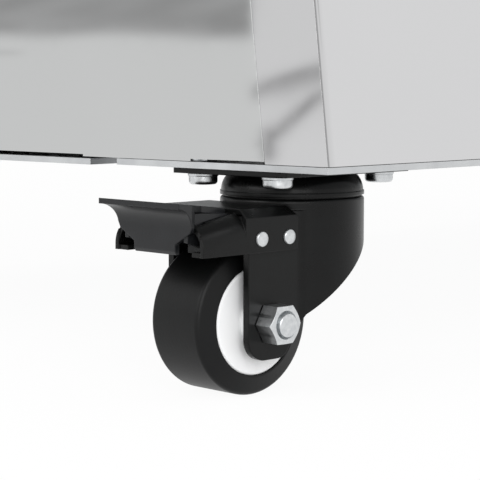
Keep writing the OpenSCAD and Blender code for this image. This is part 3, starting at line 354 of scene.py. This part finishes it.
# %% Guard glass
glass, tree, output = new_material("float_glass")
principled(tree, output, {"Base Color": colour("#e6f1ee"), "Roughness": 0.02, "IOR": 1.52,
                          "Transmission Weight": 1.0})
paint(["guard_glass"], glass)

# %% [markdown]
# ## Surfaces from arrays
# A new piece is a grid of points: a function of two parameters worked out for the whole array at once. Four
# neighbouring points make one face. Where a section has corners, each is rounded by a small arc with a
# support point on either side, so that the flats stay flat when the shading is smooth. Turned pieces are
# outlines of (radius, place along the axis) in millimetres, swept round the Y axis.

# %% Helpers for surfaces
SHARP_DEGREES = 35
AXIS_R = 0.01


def surface(name, points, wrap_u=True, wrap_v=True, material=None):
    """Mesh over points[u, v] with faces (u, v) (u+1, v) (u+1, v+1) (u, v+1); a closed shell is turned so
    that its volume, a sixth of the sum of p . (q x r) over its triangles, is positive."""
    nu, nv = points.shape[:2]
    u, v = np.meshgrid(np.arange(nu if wrap_u else nu - 1), np.arange(nv if wrap_v else nv - 1),
                       indexing="ij")
    u1, v1 = (u + 1) % nu, (v + 1) % nv
    quads = np.stack([u * nv + v, u1 * nv + v, u1 * nv + v1, u * nv + v1], -1).reshape(-1, 4)
    flat = points.reshape(-1, 3)
    a, b, c, d = (flat[quads[:, k]] for k in range(4))
    volume = np.sum(np.cross(b, c) * a) + np.sum(np.cross(c, d) * a)
    if volume < 0:
        quads = quads[:, ::-1]
    mesh = bpy.data.meshes.new(name)
    mesh.from_pydata(flat.tolist(), [], quads.tolist())
    mesh.polygons.foreach_set("use_smooth", np.ones(len(quads), bool))
    mesh.set_sharp_from_angle(angle=math.radians(SHARP_DEGREES))
    piece = bpy.data.objects.new(name, mesh)
    bpy.context.scene.collection.objects.link(piece)
    if material:
        mesh.materials.append(material)
    return piece


def rounded(outline, radii, steps=5, support=0.15):
    """Closed outline with its corners rounded. At a corner with half angle f the arc starts r / tan(f) away,
    and its points are a spherical blend between the two spokes of the arc."""
    p = np.array(outline, float)
    r = np.broadcast_to(np.maximum(np.array(radii, float), 0.02), len(p))[:, None]
    back = np.roll(p, 1, 0) - p
    ahead = np.roll(p, -1, 0) - p
    back /= np.linalg.norm(back, axis=1, keepdims=True)
    ahead /= np.linalg.norm(ahead, axis=1, keepdims=True)
    half = np.arccos(np.clip(np.sum(back * ahead, 1), -1, 1))[:, None] / 2
    reach = r / np.tan(half)
    middle = back + ahead
    centre = p + middle / np.linalg.norm(middle, axis=1, keepdims=True) * r / np.sin(half)
    first, last = p + back * reach, p + ahead * reach
    sweep = np.pi - 2 * half
    t = np.linspace(0, 1, steps + 1)[None, :, None]
    arc = (np.sin((1 - t) * sweep[:, None]) * (first - centre)[:, None]
           + np.sin(t * sweep[:, None]) * (last - centre)[:, None]) / np.sin(sweep[:, None])
    arc += centre[:, None]
    lead = first + back * support
    tail = last + ahead * support
    return np.concatenate([lead[:, None], arc, tail[:, None]], 1).reshape(-1, 2)


def symmetric(lower, radii, steps):
    """Rounded outline from its lower half, which is repeated above: (r, -y) gives (r, y)."""
    return rounded(lower + [(r, -y) for r, y in reversed(lower)], radii + radii[::-1], steps)


def rod(radius, low, high, low_edge, high_edge, steps=3, support=0.05):
    """Outline of a round rod from low to high with rounded edges. It stops AXIS_R short of its axis."""
    return rounded([(AXIS_R, low), (radius, low), (radius, high), (AXIS_R, high)],
                   [AXIS_R, low_edge, high_edge, AXIS_R], steps, support)


def revolved(profile, steps=96):
    """Points of a closed outline (radius, along) turned about Y: x = r cos t, y = along, z = r sin t."""
    t = np.linspace(0, 2 * np.pi, steps, endpoint=False)[:, None]
    r, along = profile[None, :, 0], profile[None, :, 1]
    return np.stack(np.broadcast_arrays(r * np.cos(t), along, r * np.sin(t)), -1)


def fit_piece(piece, body, *replaced, slot):
    """The piece rides on a body and stands for the CAD nodes it replaces."""
    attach(piece, body)
    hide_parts(*replaced)
    print(piece.name, "rides", body, "in place of", *replaced)


def joined(name, parts, material):
    """One object of several meshes that belong to one physical piece or group."""
    whole = bmesh.new()
    for part in parts:
        whole.from_mesh(part.data)
        old = part.data
        bpy.data.objects.remove(part)
        bpy.data.meshes.remove(old)
    mesh = bpy.data.meshes.new(name)
    whole.to_mesh(mesh)
    whole.free()
    mesh.set_sharp_from_angle(angle=math.radians(SHARP_DEGREES))
    mesh.materials.append(material)
    made = bpy.data.objects.new(name, mesh)
    bpy.context.scene.collection.objects.link(made)
    return made


print("a rod's outline has", len(rod(1.0, 0.0, 1.0, 0.1, 0.1)), "points")

# %% [markdown]
# ## Caster space
# The four casters repeat one design, so their pieces are made in a caster's own millimetres: the swivel axis
# is Z, the wheel trails along -X and the axle is parallel to Y. A short table says where each caster stands
# and how far it is turned.

# %% Caster space
SWIVEL_X = 589.5
SWIVEL_Y = 241.7
YAW_DEGREES = 2.4
SWIVELS = {"fl": (-SWIVEL_X, -SWIVEL_Y, -YAW_DEGREES), "fr": (SWIVEL_X, -SWIVEL_Y, 180.0),
           "rl": (-SWIVEL_X, SWIVEL_Y, 0.0), "rr": (SWIVEL_X, SWIVEL_Y, 180.0)}


def at_caster(points, corner, offset=(0.0, 0.0, 0.0), turned=True):
    """Caster millimetres to table metres: offset, turn about Z, move to the swivel."""
    x, y, degrees = SWIVELS[corner]
    angle = math.radians(degrees if turned else 0.0)
    turn = np.array([[math.cos(angle), -math.sin(angle), 0],
                     [math.sin(angle), math.cos(angle), 0],
                     [0, 0, 1]])
    return ((points + np.array(offset, float)) @ turn.T + np.array([x, y, 0.0])) / 1000.0


print("front left swivel at", at_caster(np.zeros(3), "fl"))

# %% [markdown]
# ## Wheels
# A caster wheel is a moulded hub with a softer tyre cast on it. Both are turned shapes, so an outline of
# radius against width is swept round the axle. The tyre's sides taper towards a flat tread with round
# shoulders. Each outline is the same on both sides of the wheel, so only half of it is written.

# %% Wheels
WHEEL_R = 38.5
TREAD_HALF = 17.06
SHOULDER_R = 2.8
TAPER_R = 29.0
HUB_R = 28.0
HUB_HALF = 20.2
BOSS_R = 12.0
BOSS_HALF = 25.8
BORE_R = 6.05
AXLE = (-45.9, 0.0, WHEEL_R)
TYRE_OUTLINE = symmetric([(HUB_R, -HUB_HALF), (TAPER_R, -HUB_HALF), (WHEEL_R, -TREAD_HALF)],
                         [0.3, 1.0, SHOULDER_R], 6)
HUB_OUTLINE = symmetric([(BORE_R, -BOSS_HALF), (BOSS_R, -BOSS_HALF), (BOSS_R, -HUB_HALF), (HUB_R, -HUB_HALF)],
                        [0.3, 0.5, 0.8, 1.8], 6)
for corner in CASTERS:
    ring = surface(f"tyre_{corner}", at_caster(revolved(TYRE_OUTLINE, 160), corner, AXLE), material=tyre)
    fit_piece(ring, f"wheel_{corner}", f"caster_{corner}_tyre", slot="tyre_rubber")
    core = surface(f"hub_{corner}", at_caster(revolved(HUB_OUTLINE, 128), corner, AXLE), material=nylon)
    fit_piece(core, f"wheel_{corner}", f"caster_{corner}_hub", slot="hub_nylon")

# %% [markdown]
# ## Axle nuts
# The axle is an M12 bolt with a nut 19 mm across flats. A nut's outer face is a cone cut through a hexagon,
# so its edge is a function of the angle: the hexagon's radius is half the flats over cos of the angle to the
# nearest flat's middle, and the chamfer drops by the radius beyond the face circle times tan 30.

# %% Axle nuts
AXLE_R = 6.0
AXLE_END = 43.0
AXLE_FLATS = 19.0
AXLE_FACE_R = 9.2
FORK_HALF = 30.0
NUT_END = 41.3
NUT_RECESS = 1.7
HEAD_END = 37.5
CHAMFER = math.radians(30)


def hexagon(angle, flats):
    """Distance from the axis to a hexagon's side, with corners at 0, 60, 120 and so on degrees."""
    return flats / 2 / np.cos((angle % (np.pi / 3)) - np.pi / 6)


def hex_ring(flats, bore, low, high, face, recess=0.0, steps=96):
    """Nut from low to high along Y with a bore, or a bolt head if the bore is tiny. high is its outer face,
    a circle of radius face, and every edge is broken by a few tenths of a millimetre."""
    t = np.linspace(0, 2 * np.pi, steps, endpoint=False)
    side = hexagon(t, flats)
    sign = np.sign(high - low)
    drop = np.maximum(side - face, 0) * math.tan(CHAMFER) + 0.02
    one = np.ones_like(t)
    rings = [(bore * one, low * one), (bore * one, (high - sign * recess) * one),
             ((bore + recess * 0.72) * one, high * one), ((face - 0.3) * one, high * one),
             (face * one, high * one), (side, high - sign * drop), (side, high - sign * (drop + 0.2)),
             (side, (low + sign * 0.5) * one), (np.minimum(side, face), low * one)]
    r = np.stack([ring[0] for ring in rings], 1)
    y = np.stack([ring[1] for ring in rings], 1)
    return np.stack([r * np.cos(t)[:, None], y, r * np.sin(t)[:, None]], -1)


AXLE_SHAPES = {"nut": hex_ring(AXLE_FLATS, BORE_R, -FORK_HALF, -NUT_END, AXLE_FACE_R, NUT_RECESS),
               "head": hex_ring(AXLE_FLATS, AXIS_R, FORK_HALF, HEAD_END, AXLE_FACE_R),
               "shank": revolved(rod(AXLE_R, -AXLE_END, FORK_HALF, 0.7, 0.1), 64)}
for corner in CASTERS:
    parts = [surface(name, at_caster(shape, corner, AXLE)) for name, shape in AXLE_SHAPES.items()]
    bolt = joined(f"axle_{corner}", parts, zinc)
    fit_piece(bolt, f"swivel_{corner}", f"caster_{corner}_axle", slot="zinc_steel")

# %% [markdown]
# ## Plate bolts
# Each top plate hangs from four M8 bolts with washers. Their heads are low and round-edged, and a nut on the
# base sheet holds each. All are turned shapes again, which stand upright here, in a pattern of offsets.

# %% Plate bolts
BOLT_X = 40.25
BOLT_Y = 26.55
BOLT_R = 4.0
BOLT_TOP = 123.8
HEAD_R = 7.6
HEAD_LOW = 105.7
WASHER_LOW = 110.1
PLATE_LOW = 111.7
SHEET_TOP = 117.9
PLATE_NUT_TOP = 122.9
PLATE_NUT_FLATS = 13.6


def upright(points):
    """Turns a shape made about Y so that it stands about Z: x, y, z become x, -z, y."""
    return np.stack([points[..., 0], -points[..., 2], points[..., 1]], -1)


WASHER = rounded([(4.3, WASHER_LOW), (8.1, WASHER_LOW), (8.1, PLATE_LOW), (4.3, PLATE_LOW)], 0.3, 3, 0.05)
BOLT_SHAPES = [revolved(WASHER, 48),
               revolved(rod(HEAD_R, HEAD_LOW, WASHER_LOW, 1.9, 0.2, 6, 0.1), 48),
               revolved(rod(BOLT_R, WASHER_LOW - 0.1, BOLT_TOP, 0.1, 0.5), 32),
               hex_ring(PLATE_NUT_FLATS, BOLT_R + 0.05, SHEET_TOP, PLATE_NUT_TOP, 6.6, 0.5, 48)]
parts = []
for corner in CASTERS:
    for x in (-BOLT_X, BOLT_X):
        for y in (-BOLT_Y, BOLT_Y):
            parts += [surface("bolt", at_caster(upright(shape), corner, (x, y, 0), turned=False))
                      for shape in BOLT_SHAPES]
fit_piece(joined("plate_bolts", parts, zinc), "table", "caster_bolts", slot="zinc_steel")

# %% [markdown]
# ## Rivets and pivot pins
# The brake's sheet is held by two rivets with shallow domes. The pedal turns on a pin with the same domes,
# which goes right through the fork, while the rivets end on the inside of each leg.

# %% Rivets and pivot pins
RIVET_R = 3.0
RIVET_X = -35.9
PIVOT_X = -55.3
PIVOT_Z = 81.6
LEG_INSIDE = 26.0
BRAKE_HALF = 33.0
DOME = rounded([(AXIS_R, FORK_HALF), (RIVET_R, FORK_HALF), (RIVET_R, BRAKE_HALF), (4.05, BRAKE_HALF),
                (3.7, 34.1), (2.2, 34.6), (AXIS_R, 34.65)], [0.01, 0.05, 0.05, 0.15, 0.5, 3.0, 0.01], 4, 0.03)
STUB = rounded([(AXIS_R, LEG_INSIDE - 1.2), (3.9, LEG_INSIDE - 1.2), (3.9, LEG_INSIDE), (RIVET_R, LEG_INSIDE),
                (RIVET_R, BRAKE_HALF + 0.2), (AXIS_R, BRAKE_HALF + 0.2)],
               [0.01, 0.5, 0.1, 0.05, 0.05, 0.01], 3, 0.03)
PIN = rod(RIVET_R, -BRAKE_HALF - 0.5, BRAKE_HALF + 0.5, 0.1, 0.1)
RIVET_SHAPES = [(PIVOT_X, PIN)]
for side in (-1, 1):
    RIVET_SHAPES += [(PIVOT_X, DOME * (1, side)), (RIVET_X, DOME * (1, side)), (RIVET_X, STUB * (1, side))]
for corner in BRAKED:
    parts = [surface("rivet", at_caster(revolved(outline, 48), corner, (x, 0, PIVOT_Z)))
             for x, outline in RIVET_SHAPES]
    fit_piece(joined(f"rivets_{corner}", parts, zinc), f"swivel_{corner}", f"caster_{corner}_rivets",
              slot="zinc_steel")

# %% [markdown]
# ## Food pans
# A gastronorm pan is deep drawn from one sheet: a flat rim, a rolled edge into a wall with a little draft,
# and a generous radius to the bottom. Every level is a rectangle with round corners, so the pan is a function
# of the way round that rectangle and of the way down the wall. A level is written as its inset from the rim's
# edge, its corner radius and its height, in metres. Solidify gives the sheet its thickness.

# %% Food pans
RIM_HALF_X = 0.1625
RIM_HALF_Y = 0.265
RIM_Z = 0.911
RIM_BEND = 0.0045
FOOT_BEND = 0.016
FOOT_BEND_Z = 0.7785
PAN_SHEET = 0.0009
PAN_PITCH = 0.327


def round_loop(half_x, half_y, radius, steps=10):
    """Points round a rectangle with corner arcs, starting on the +X side; each quarter is one arc."""
    t = np.linspace(0, np.pi / 2, steps)
    quarters = []
    for k, (sx, sy) in enumerate(((1, 1), (-1, 1), (-1, -1), (1, -1))):
        angle = t + k * np.pi / 2
        quarters.append(np.stack([sx * (half_x - radius) + radius * np.cos(angle),
                                  sy * (half_y - radius) + radius * np.sin(angle)], -1))
    return np.concatenate(quarters)


def pressed_tray(name, rings, thickness, material):
    """Open sheet shape over rings of points from the rim to the bottom. The last ring is closed by one face.
    Solidify adds the thickness on the outside of the bowl."""
    points = np.stack(rings)
    count = points.shape[1]
    piece = surface(name, points, wrap_u=False, wrap_v=True, material=material)
    shell = bmesh.new()
    shell.from_mesh(piece.data)
    shell.verts.ensure_lookup_table()
    base = (len(rings) - 1) * count
    shell.faces.new([shell.verts[base + k] for k in range(count)])
    bmesh.ops.recalc_face_normals(shell, faces=shell.faces)
    lowest = min(shell.faces, key=lambda f: f.calc_center_median().z)
    if lowest.normal.z < 0:
        bmesh.ops.reverse_faces(shell, faces=shell.faces)
    for face in shell.faces:
        face.smooth = True
    shell.to_mesh(piece.data)
    shell.free()
    piece.data.set_sharp_from_angle(angle=math.radians(SHARP_DEGREES))
    wall = piece.modifiers.new("sheet", "SOLIDIFY")
    wall.thickness = thickness
    wall.offset = -1.0
    return piece


def pan_rings():
    """Rings of a pan: flat rim, rim bend, drafted wall, bottom bend, floor."""
    t = np.linspace(0, np.pi / 2, 7)
    levels = [(0.0003, 0.0118, RIM_Z - 0.0006), (0.0, 0.012, RIM_Z), (0.0007, 0.0115, RIM_Z)]
    levels += [(0.0115 + RIM_BEND * np.sin(a), 0.029, RIM_Z - RIM_BEND * (1 - np.cos(a))) for a in t]
    levels += [(0.0167, 0.0285, 0.86), (0.0173, 0.028, 0.81)]
    levels += [(0.0177 + FOOT_BEND * (1 - np.cos(a)), 0.0278, FOOT_BEND_Z - FOOT_BEND * np.sin(a)) for a in t]
    levels += [(0.0425, 0.02, FOOT_BEND_Z - FOOT_BEND - 0.0001)]
    loops = [(round_loop(RIM_HALF_X - inset, RIM_HALF_Y - inset, radius), z) for inset, radius, z in levels]
    return [np.column_stack([loop, np.full(len(loop), z)]) for loop, z in loops]


for k in (1, 2, 3, 4):
    pan = pressed_tray(f"gastronorm_pan_{k}", pan_rings(), PAN_SHEET, pan_steel)
    pan.data.transform(Matrix.Translation(((k - 2.5) * PAN_PITCH, 0, 0)))
    fit_piece(pan, f"pan_{k}", f"food_pan_{k}", slot="pan_steel")

# %% [markdown]
# ## Fan
# The condenser fan draws air through the fins. Each blade is a thin cambered sheet: its pitch falls towards
# the tip and its chord widens, which two functions of the radius give over a grid, and Solidify makes it a
# plate. The fan's own axis is z here, in millimetres.

# %% Fan
FAN_AT = np.array([-20.0, 75.2, 248.1])
BLADES = 5
ROOT_R = 22
TIP_R = 97
BLADE_T = 0.0016
CAP_R = 24.0
CAP_TOP = 38.0
SHAFT_R = 4.0
SHAFT_END = 60.0


def on_fan(points):
    """Fan millimetres to table metres, with z away from the condenser: x, y, z become x, -z, y."""
    return np.stack([points[..., 0] + FAN_AT[0], FAN_AT[1] - points[..., 2], points[..., 1] + FAN_AT[2]],
                    -1) / 1000.0


def blade(angle):
    """Grid over radius r and chord share c: pitch 40 to 24 degrees, chord 38 to 56 mm, camber a parabola."""
    r, c = np.meshgrid(np.linspace(ROOT_R, TIP_R, 14), np.linspace(-0.5, 0.5, 12), indexing="ij")
    share = (r - ROOT_R) / (TIP_R - ROOT_R)
    pitch = np.radians(40 - 16 * share)
    chord = 38 + 28 * share - 10 * share ** 6
    lift = 3.5 * (1 - 4 * c ** 2)
    along = chord * c + 6 * share
    tangent = along * np.cos(pitch) - lift * np.sin(pitch)
    height = 24 + along * np.sin(pitch) * 0.62 + lift * np.cos(pitch)
    turn = angle + tangent / r
    return np.stack([r * np.cos(turn), r * np.sin(turn), height], -1)


parts = []
for k in range(BLADES):
    sheet = surface("blade", on_fan(blade(2 * np.pi * k / BLADES)), wrap_u=False, wrap_v=False)
    plate = sheet.modifiers.new("plate", "SOLIDIFY")
    plate.thickness = BLADE_T
    plate.offset = 0.0
    bpy.context.view_layer.update()
    solid = bpy.data.meshes.new_from_object(sheet.evaluated_get(bpy.context.evaluated_depsgraph_get()))
    sheet.modifiers.clear()
    sheet.data = solid
    parts.append(sheet)
CAP = rounded([(AXIS_R, 10.0), (CAP_R - 0.5, 10.0), (CAP_R, CAP_TOP), (SHAFT_R, CAP_TOP),
               (SHAFT_R, SHAFT_END), (AXIS_R, SHAFT_END)], [0.01, 4.0, 1.0, 0.3, 0.5, 0.01], 5)
turned = revolved(CAP, 72)
parts.append(surface("cap", on_fan(turned[..., [0, 2, 1]])))
fit_piece(joined("condenser_fan", parts, abs_black), "fan", "fan_rotor", slot="fan_plastic")

# %% [markdown]
# ## Thermostat knob
# A moulded knob has shallow finger flutes. Its radius is the outline's radius less a few cosine waves, so the
# same outline is swept round with a radius that depends on the angle. A pointer line is moulded on its face.

# %% Thermostat knob
KNOB_AT = np.array([0.380, 0.333, 0.794])
FLUTES = 12
FLUTE_DEPTH = 0.045
FACE_Y = 14.0
POINTER_MIDDLE = 10.75
SKIRT = rounded([(AXIS_R, 0.4), (20.0, 0.4), (21.0, 3.5), (17.5, 5.0), (17.0, FACE_Y), (AXIS_R, FACE_Y)],
                [0.01, 0.6, 0.8, 1.5, 1.6, 0.01], 5)
POINTER = rounded([(-0.9, 6.0), (0.9, 6.0), (0.9, 15.5), (-0.9, 15.5)], 0.8, 5, 0.05)
shape = revolved(SKIRT, 180)
angle = np.arctan2(shape[..., 2], shape[..., 0])
distance = np.hypot(shape[..., 0], shape[..., 2])
tall = np.clip((shape[..., 1] - 4.5) / 2.0, 0, 1) * np.clip((distance - 12.0) / 4.0, 0, 1)
shrink = 1 - FLUTE_DEPTH * tall * (0.5 - 0.5 * np.cos(FLUTES * angle))
shape = shape * np.stack([shrink, np.ones_like(shrink), shrink], -1)
spindle = revolved(rod(4.0, -16.0, 2.0, 0.4, 0.2), 32)
line = np.stack([np.column_stack([POINTER[:, 0] * grow, np.full(len(POINTER), FACE_Y + lift),
                                  POINTER_MIDDLE + (POINTER[:, 1] - POINTER_MIDDLE) * grow])
                 for grow, lift in ((0.001, -0.4), (1.0, -0.4), (1.0, 0.3), (0.001, 0.3))])
parts = [surface("skirt", shape / 1000.0 + KNOB_AT), surface("spindle", spindle / 1000.0 + KNOB_AT)]
knob = joined("thermostat_dial", parts, abs_black)
mark = surface("dial_pointer", line / 1000.0 + KNOB_AT, wrap_u=False, material=nylon)
fit_piece(knob, "knob", "thermostat_knob", slot="knob_black")
mark.parent = knob

# %% [markdown]
# ## Studio
# The product stands on a white floor in a white room. To the camera and in reflections the floor is mostly a
# plain white of strength 1, and the rest of it is a white paper that keeps the table's shadow. The room is as
# white, but it darkens towards its ceiling in reflections, which is what gives the black coats their depth.

# %% Floor and world
FLOOR_HALF = 14.0
GLOW_SHARE = 0.94

floor_mesh = bpy.data.meshes.new("studio_floor")
floor_mesh.from_pydata([(x * FLOOR_HALF, y * FLOOR_HALF, 0) for x, y in ((-1, -1), (1, -1), (1, 1), (-1, 1))],
                       [], [(0, 1, 2, 3)])
floor = bpy.data.objects.new("studio_floor", floor_mesh)
bpy.context.scene.collection.objects.link(floor)
white, tree, output = new_material("white_paper_floor")
rays = add(tree, "ShaderNodeLightPath").outputs
seen = math_node(tree, "MAXIMUM", rays["Is Camera Ray"], rays["Is Glossy Ray"])
seen = math_node(tree, "MAXIMUM", seen, rays["Is Transmission Ray"])
share = math_node(tree, "MULTIPLY", seen, GLOW_SHARE)
paper = add(tree, "ShaderNodeBsdfDiffuse", {"Color": colour("#fbfbfb")})
glow = add(tree, "ShaderNodeEmission", {"Color": colour("#ffffff"), "Strength": 1.0})
both = add(tree, "ShaderNodeMixShader", {0: share, 1: paper.outputs["BSDF"], 2: glow.outputs["Emission"]})
tree.links.new(both.outputs["Shader"], output.inputs["Surface"])
floor_mesh.materials.append(white)

world = bpy.data.worlds.new("white_room")
world.use_nodes = True
room = world.node_tree
room.nodes.clear()
rays = add(room, "ShaderNodeLightPath").outputs
seen = math_node(room, "MAXIMUM", rays["Is Camera Ray"], rays["Is Transmission Ray"])
level = spread(room, seen, 0.85, 1.0)
upward = add(room, "ShaderNodeSeparateXYZ", {0: add(room, "ShaderNodeTexCoord").outputs["Generated"]})
ceiling = add(room, "ShaderNodeMapRange", {"Value": upward.outputs["Z"], "From Min": 0.45, "From Max": 0.9,
                                           "To Min": 1.0, "To Max": 0.3}, interpolation_type="SMOOTHSTEP")
tone = add(room, "ShaderNodeMix", {0: rays["Is Glossy Ray"], 2: level, 3: ceiling.outputs["Result"]},
           data_type="FLOAT")
sky = add(room, "ShaderNodeBackground", {"Color": colour("#ffffff"), "Strength": tone.outputs[0]})
add(room, "ShaderNodeOutputWorld", {"Surface": sky.outputs["Background"]})
bpy.context.scene.world = world
print("floor of", 2 * FLOOR_HALF, "m and a white room")

# %% [markdown]
# ## Glowing card for painted reflections in the steel
# Polished steel shows the room. The end panel carries a soft dark band along its top, and the corner strip
# two slanting streaks: dim things in the room that the steel mirrors. They are painted reflections: a card
# that glows, where a photographer would hang a grey card, stands at the left behind the table, where only
# reflections see it. Its glow is worked out on a grid of picture points, and each point is followed from the
# camera to the panel and mirrored there onto the card. Where the card is bare its cover is 0 and it is clear.
# The picture points are (u, v) from the top left of 480 x 480.

# %% Glowing reflection card
CARD_AWAY = 2.6
CARD_U = (-60.0, 360.0)
CARD_V = (-60.0, 178.0)
CARD_STEP = 2.0
# picture points of the painted reflections: the joint, the dark band, the spot and the two streaks
JOINT_U = 252.0
BAND_V = 34.5
BAND_DEEP_U = 110.0
SPOT_U = 8.0
SPOT_V = 52.5
UPPER_U = 262.0
UPPER_V = 88.0
LOWER_U = 310.0
LOWER_V = 104.0
FOOT_U = 269.0
FOOT_V = 136.0


def smooth(value, low, high):
    """0 below low, 1 above high, and 3 t^2 - 2 t^3 between them."""
    t = np.clip((value - low) / (high - low), 0, 1)
    return t * t * (3 - 2 * t)


def between(value, rise, fall):
    """0, then 1 after the rise, then 0 again after the fall."""
    return smooth(value, *rise) * (1 - smooth(value, *fall))


def bell(distance, width):
    """1 at distance 0, falling to 1 / e at the width."""
    return np.exp(-(distance / width) ** 2)


def on_card(u, v):
    """Picture points to card points. The camera's place and rays are mirrored in the end panel's plane
    x = p, so that x becomes 2 p - x, and each ray is followed CARD_AWAY metres along the middle ray."""
    middle = PICTURE_PX / 2
    pixel = SENSOR_MM / LENS_MM / PICTURE_PX
    ray = forward + (u[..., None] - middle) * pixel * right + (middle - v[..., None]) * pixel * up
    mirror = np.array((-1.0, 1.0, 1.0))
    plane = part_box("end_panels")[0][0]
    start = np.array(CAMERA_AT) * mirror + (2 * plane, 0, 0)
    return start + ray * mirror * (CARD_AWAY / (ray @ forward))[..., None]


def band_shade(u, v):
    """Painted reflection: what the dark band takes away from the card's glow left of the joint, with an
    uneven lower edge and slow cloud above.
    """
    edge = BAND_V + 1.4 * np.sin(u / 25) + 5.0 * np.clip(u / (JOINT_U - 2), 0, 1.1) ** 6
    cloud = (np.sin(u / 31 + 1.3 * np.sin(v / 9 + 0.5)) * np.cos(v / 8 + u / 70)
             + 0.6 * np.sin(u / 13 + v / 5) * np.sin(v / 11 + 1.2))
    band = (1 - smooth(v, edge - 9, edge + 8)) * (1 - smooth(u, JOINT_U - 1.5, JOINT_U + 0.5))
    return band * (0.46 + 0.045 * cloud + 0.05 * smooth(u, BAND_DEEP_U, BAND_DEEP_U + 60))


def streaks(u, v):
    """Painted reflection: what the two streaks take away from the card's glow right of the joint. Each is a
    bell curve of the distance from a slanting line, the first one bent and softer below, the second with a
    smear at its foot."""
    first = v - (UPPER_V - 0.45 * (u - UPPER_U) + 0.0022 * (u - UPPER_U) ** 2)
    upper = bell(first, np.where(first < 0, 7.0, 10.0 + 6.0 * smooth(u, UPPER_U, UPPER_U + 30)))
    second = (v - LOWER_V) * 0.75 + (u - LOWER_U) * 0.66
    lower = bell(second, 6.0) * between(v, (LOWER_V - 20, LOWER_V - 6), (LOWER_V + 34, LOWER_V + 48))
    foot = bell(u - FOOT_U, 7.0) * between(v, (FOOT_V - 16, FOOT_V), (FOOT_V + 18, FOOT_V + 32))
    strip = smooth(u, JOINT_U - 1, JOINT_U + 1)
    return strip * 0.45 * upper, strip * 0.58 * np.maximum(lower, foot)


def painted_reflection_tone(u, v):
    """Glow over the card, which the steel mirrors as painted reflection: a light grey, less the band, a faint
    spot at the left and the streaks.
    """
    grey = 0.865 + 0.025 * smooth(u, JOINT_U - 4, JOINT_U + 4)
    grey = grey + 0.03 * smooth(v, LOWER_V - 4, LOWER_V + 46) * smooth(u, UPPER_U, UPPER_U + 28)
    spot = 0.16 * bell(v - SPOT_V, 3.0) * (1 - smooth(u, SPOT_U, SPOT_U + 26))
    upper, lower = streaks(u, v)
    return grey * (1 - band_shade(u, v)) * (1 - spot) * (1 - upper) * (1 - lower)


u, v = np.meshgrid(*[np.arange(low, high + 1, CARD_STEP) for low, high in (CARD_U, CARD_V)], indexing="ij")
places = on_card(u, v)
card = surface("glowing_reflection_card", places, wrap_u=False, wrap_v=False)
cover = smooth(u, CARD_U[0], CARD_U[0] + 40) * (1 - smooth(u, CARD_U[1] - 30, CARD_U[1]))
cover = cover * smooth(v, CARD_V[0], CARD_V[0] + 30)
for name, values in (("painted_reflection_tone", painted_reflection_tone(u, v)), ("card_cover", cover)):
    column = card.data.attributes.new(name, "FLOAT", "POINT")
    column.data.foreach_set("value", values.ravel().astype(np.float32))
grey, tree, output = new_material("glowing_reflection_card")
clear = add(tree, "ShaderNodeBsdfTransparent")
tone = add(tree, "ShaderNodeAttribute", attribute_name="painted_reflection_tone")
amount = add(tree, "ShaderNodeAttribute", attribute_name="card_cover")
# the card glows with its painted reflection tone, though it is no lamp
lit = add(tree, "ShaderNodeEmission", {"Color": colour("#ffffff"), "Strength": tone.outputs["Fac"]})
both = add(tree, "ShaderNodeMixShader", {0: amount.outputs["Fac"], 1: clear.outputs["BSDF"],
                                         2: lit.outputs["Emission"]})
tree.links.new(both.outputs["Shader"], output.inputs["Surface"])
card.data.materials.append(grey)
card.visible_camera = False
card.visible_diffuse = False
card.visible_shadow = False
card.visible_transmission = False
print("grey card from", np.round(places.min((0, 1)), 2), "to", np.round(places.max((0, 1)), 2))

# %% [markdown]
# ## Lamps
# The light is soft and nearly even. A large square lamp stands behind and above the camera, and a weaker one
# far to its left, which faces the table's end.

# %% Lamps
def soft_lamp(name, place, target, size, watts):
    """A square area lamp at place that faces target."""
    light = bpy.data.lights.new(name, "AREA")
    light.shape = "SQUARE"
    light.size = size
    light.energy = watts
    lamp = bpy.data.objects.new(name, light)
    bpy.context.scene.collection.objects.link(lamp)
    lamp.matrix_world = facing(place, np.subtract(target, place))[0]
    print(name, watts, "W at", place)


soft_lamp("key_lamp", (-2.6, -2.9, 1.7), (-0.55, -0.25, 0.1), 2.4, 60.0)
soft_lamp("fill_lamp", (-3.2, 0.6, 1.6), (-0.5, -0.2, 0.3), 1.6, 20.0)

# %% [markdown]
# ## Finish
# The plain view transform keeps a written colour as it is.

# %% Finish
bpy.context.scene.view_settings.view_transform = "Standard"
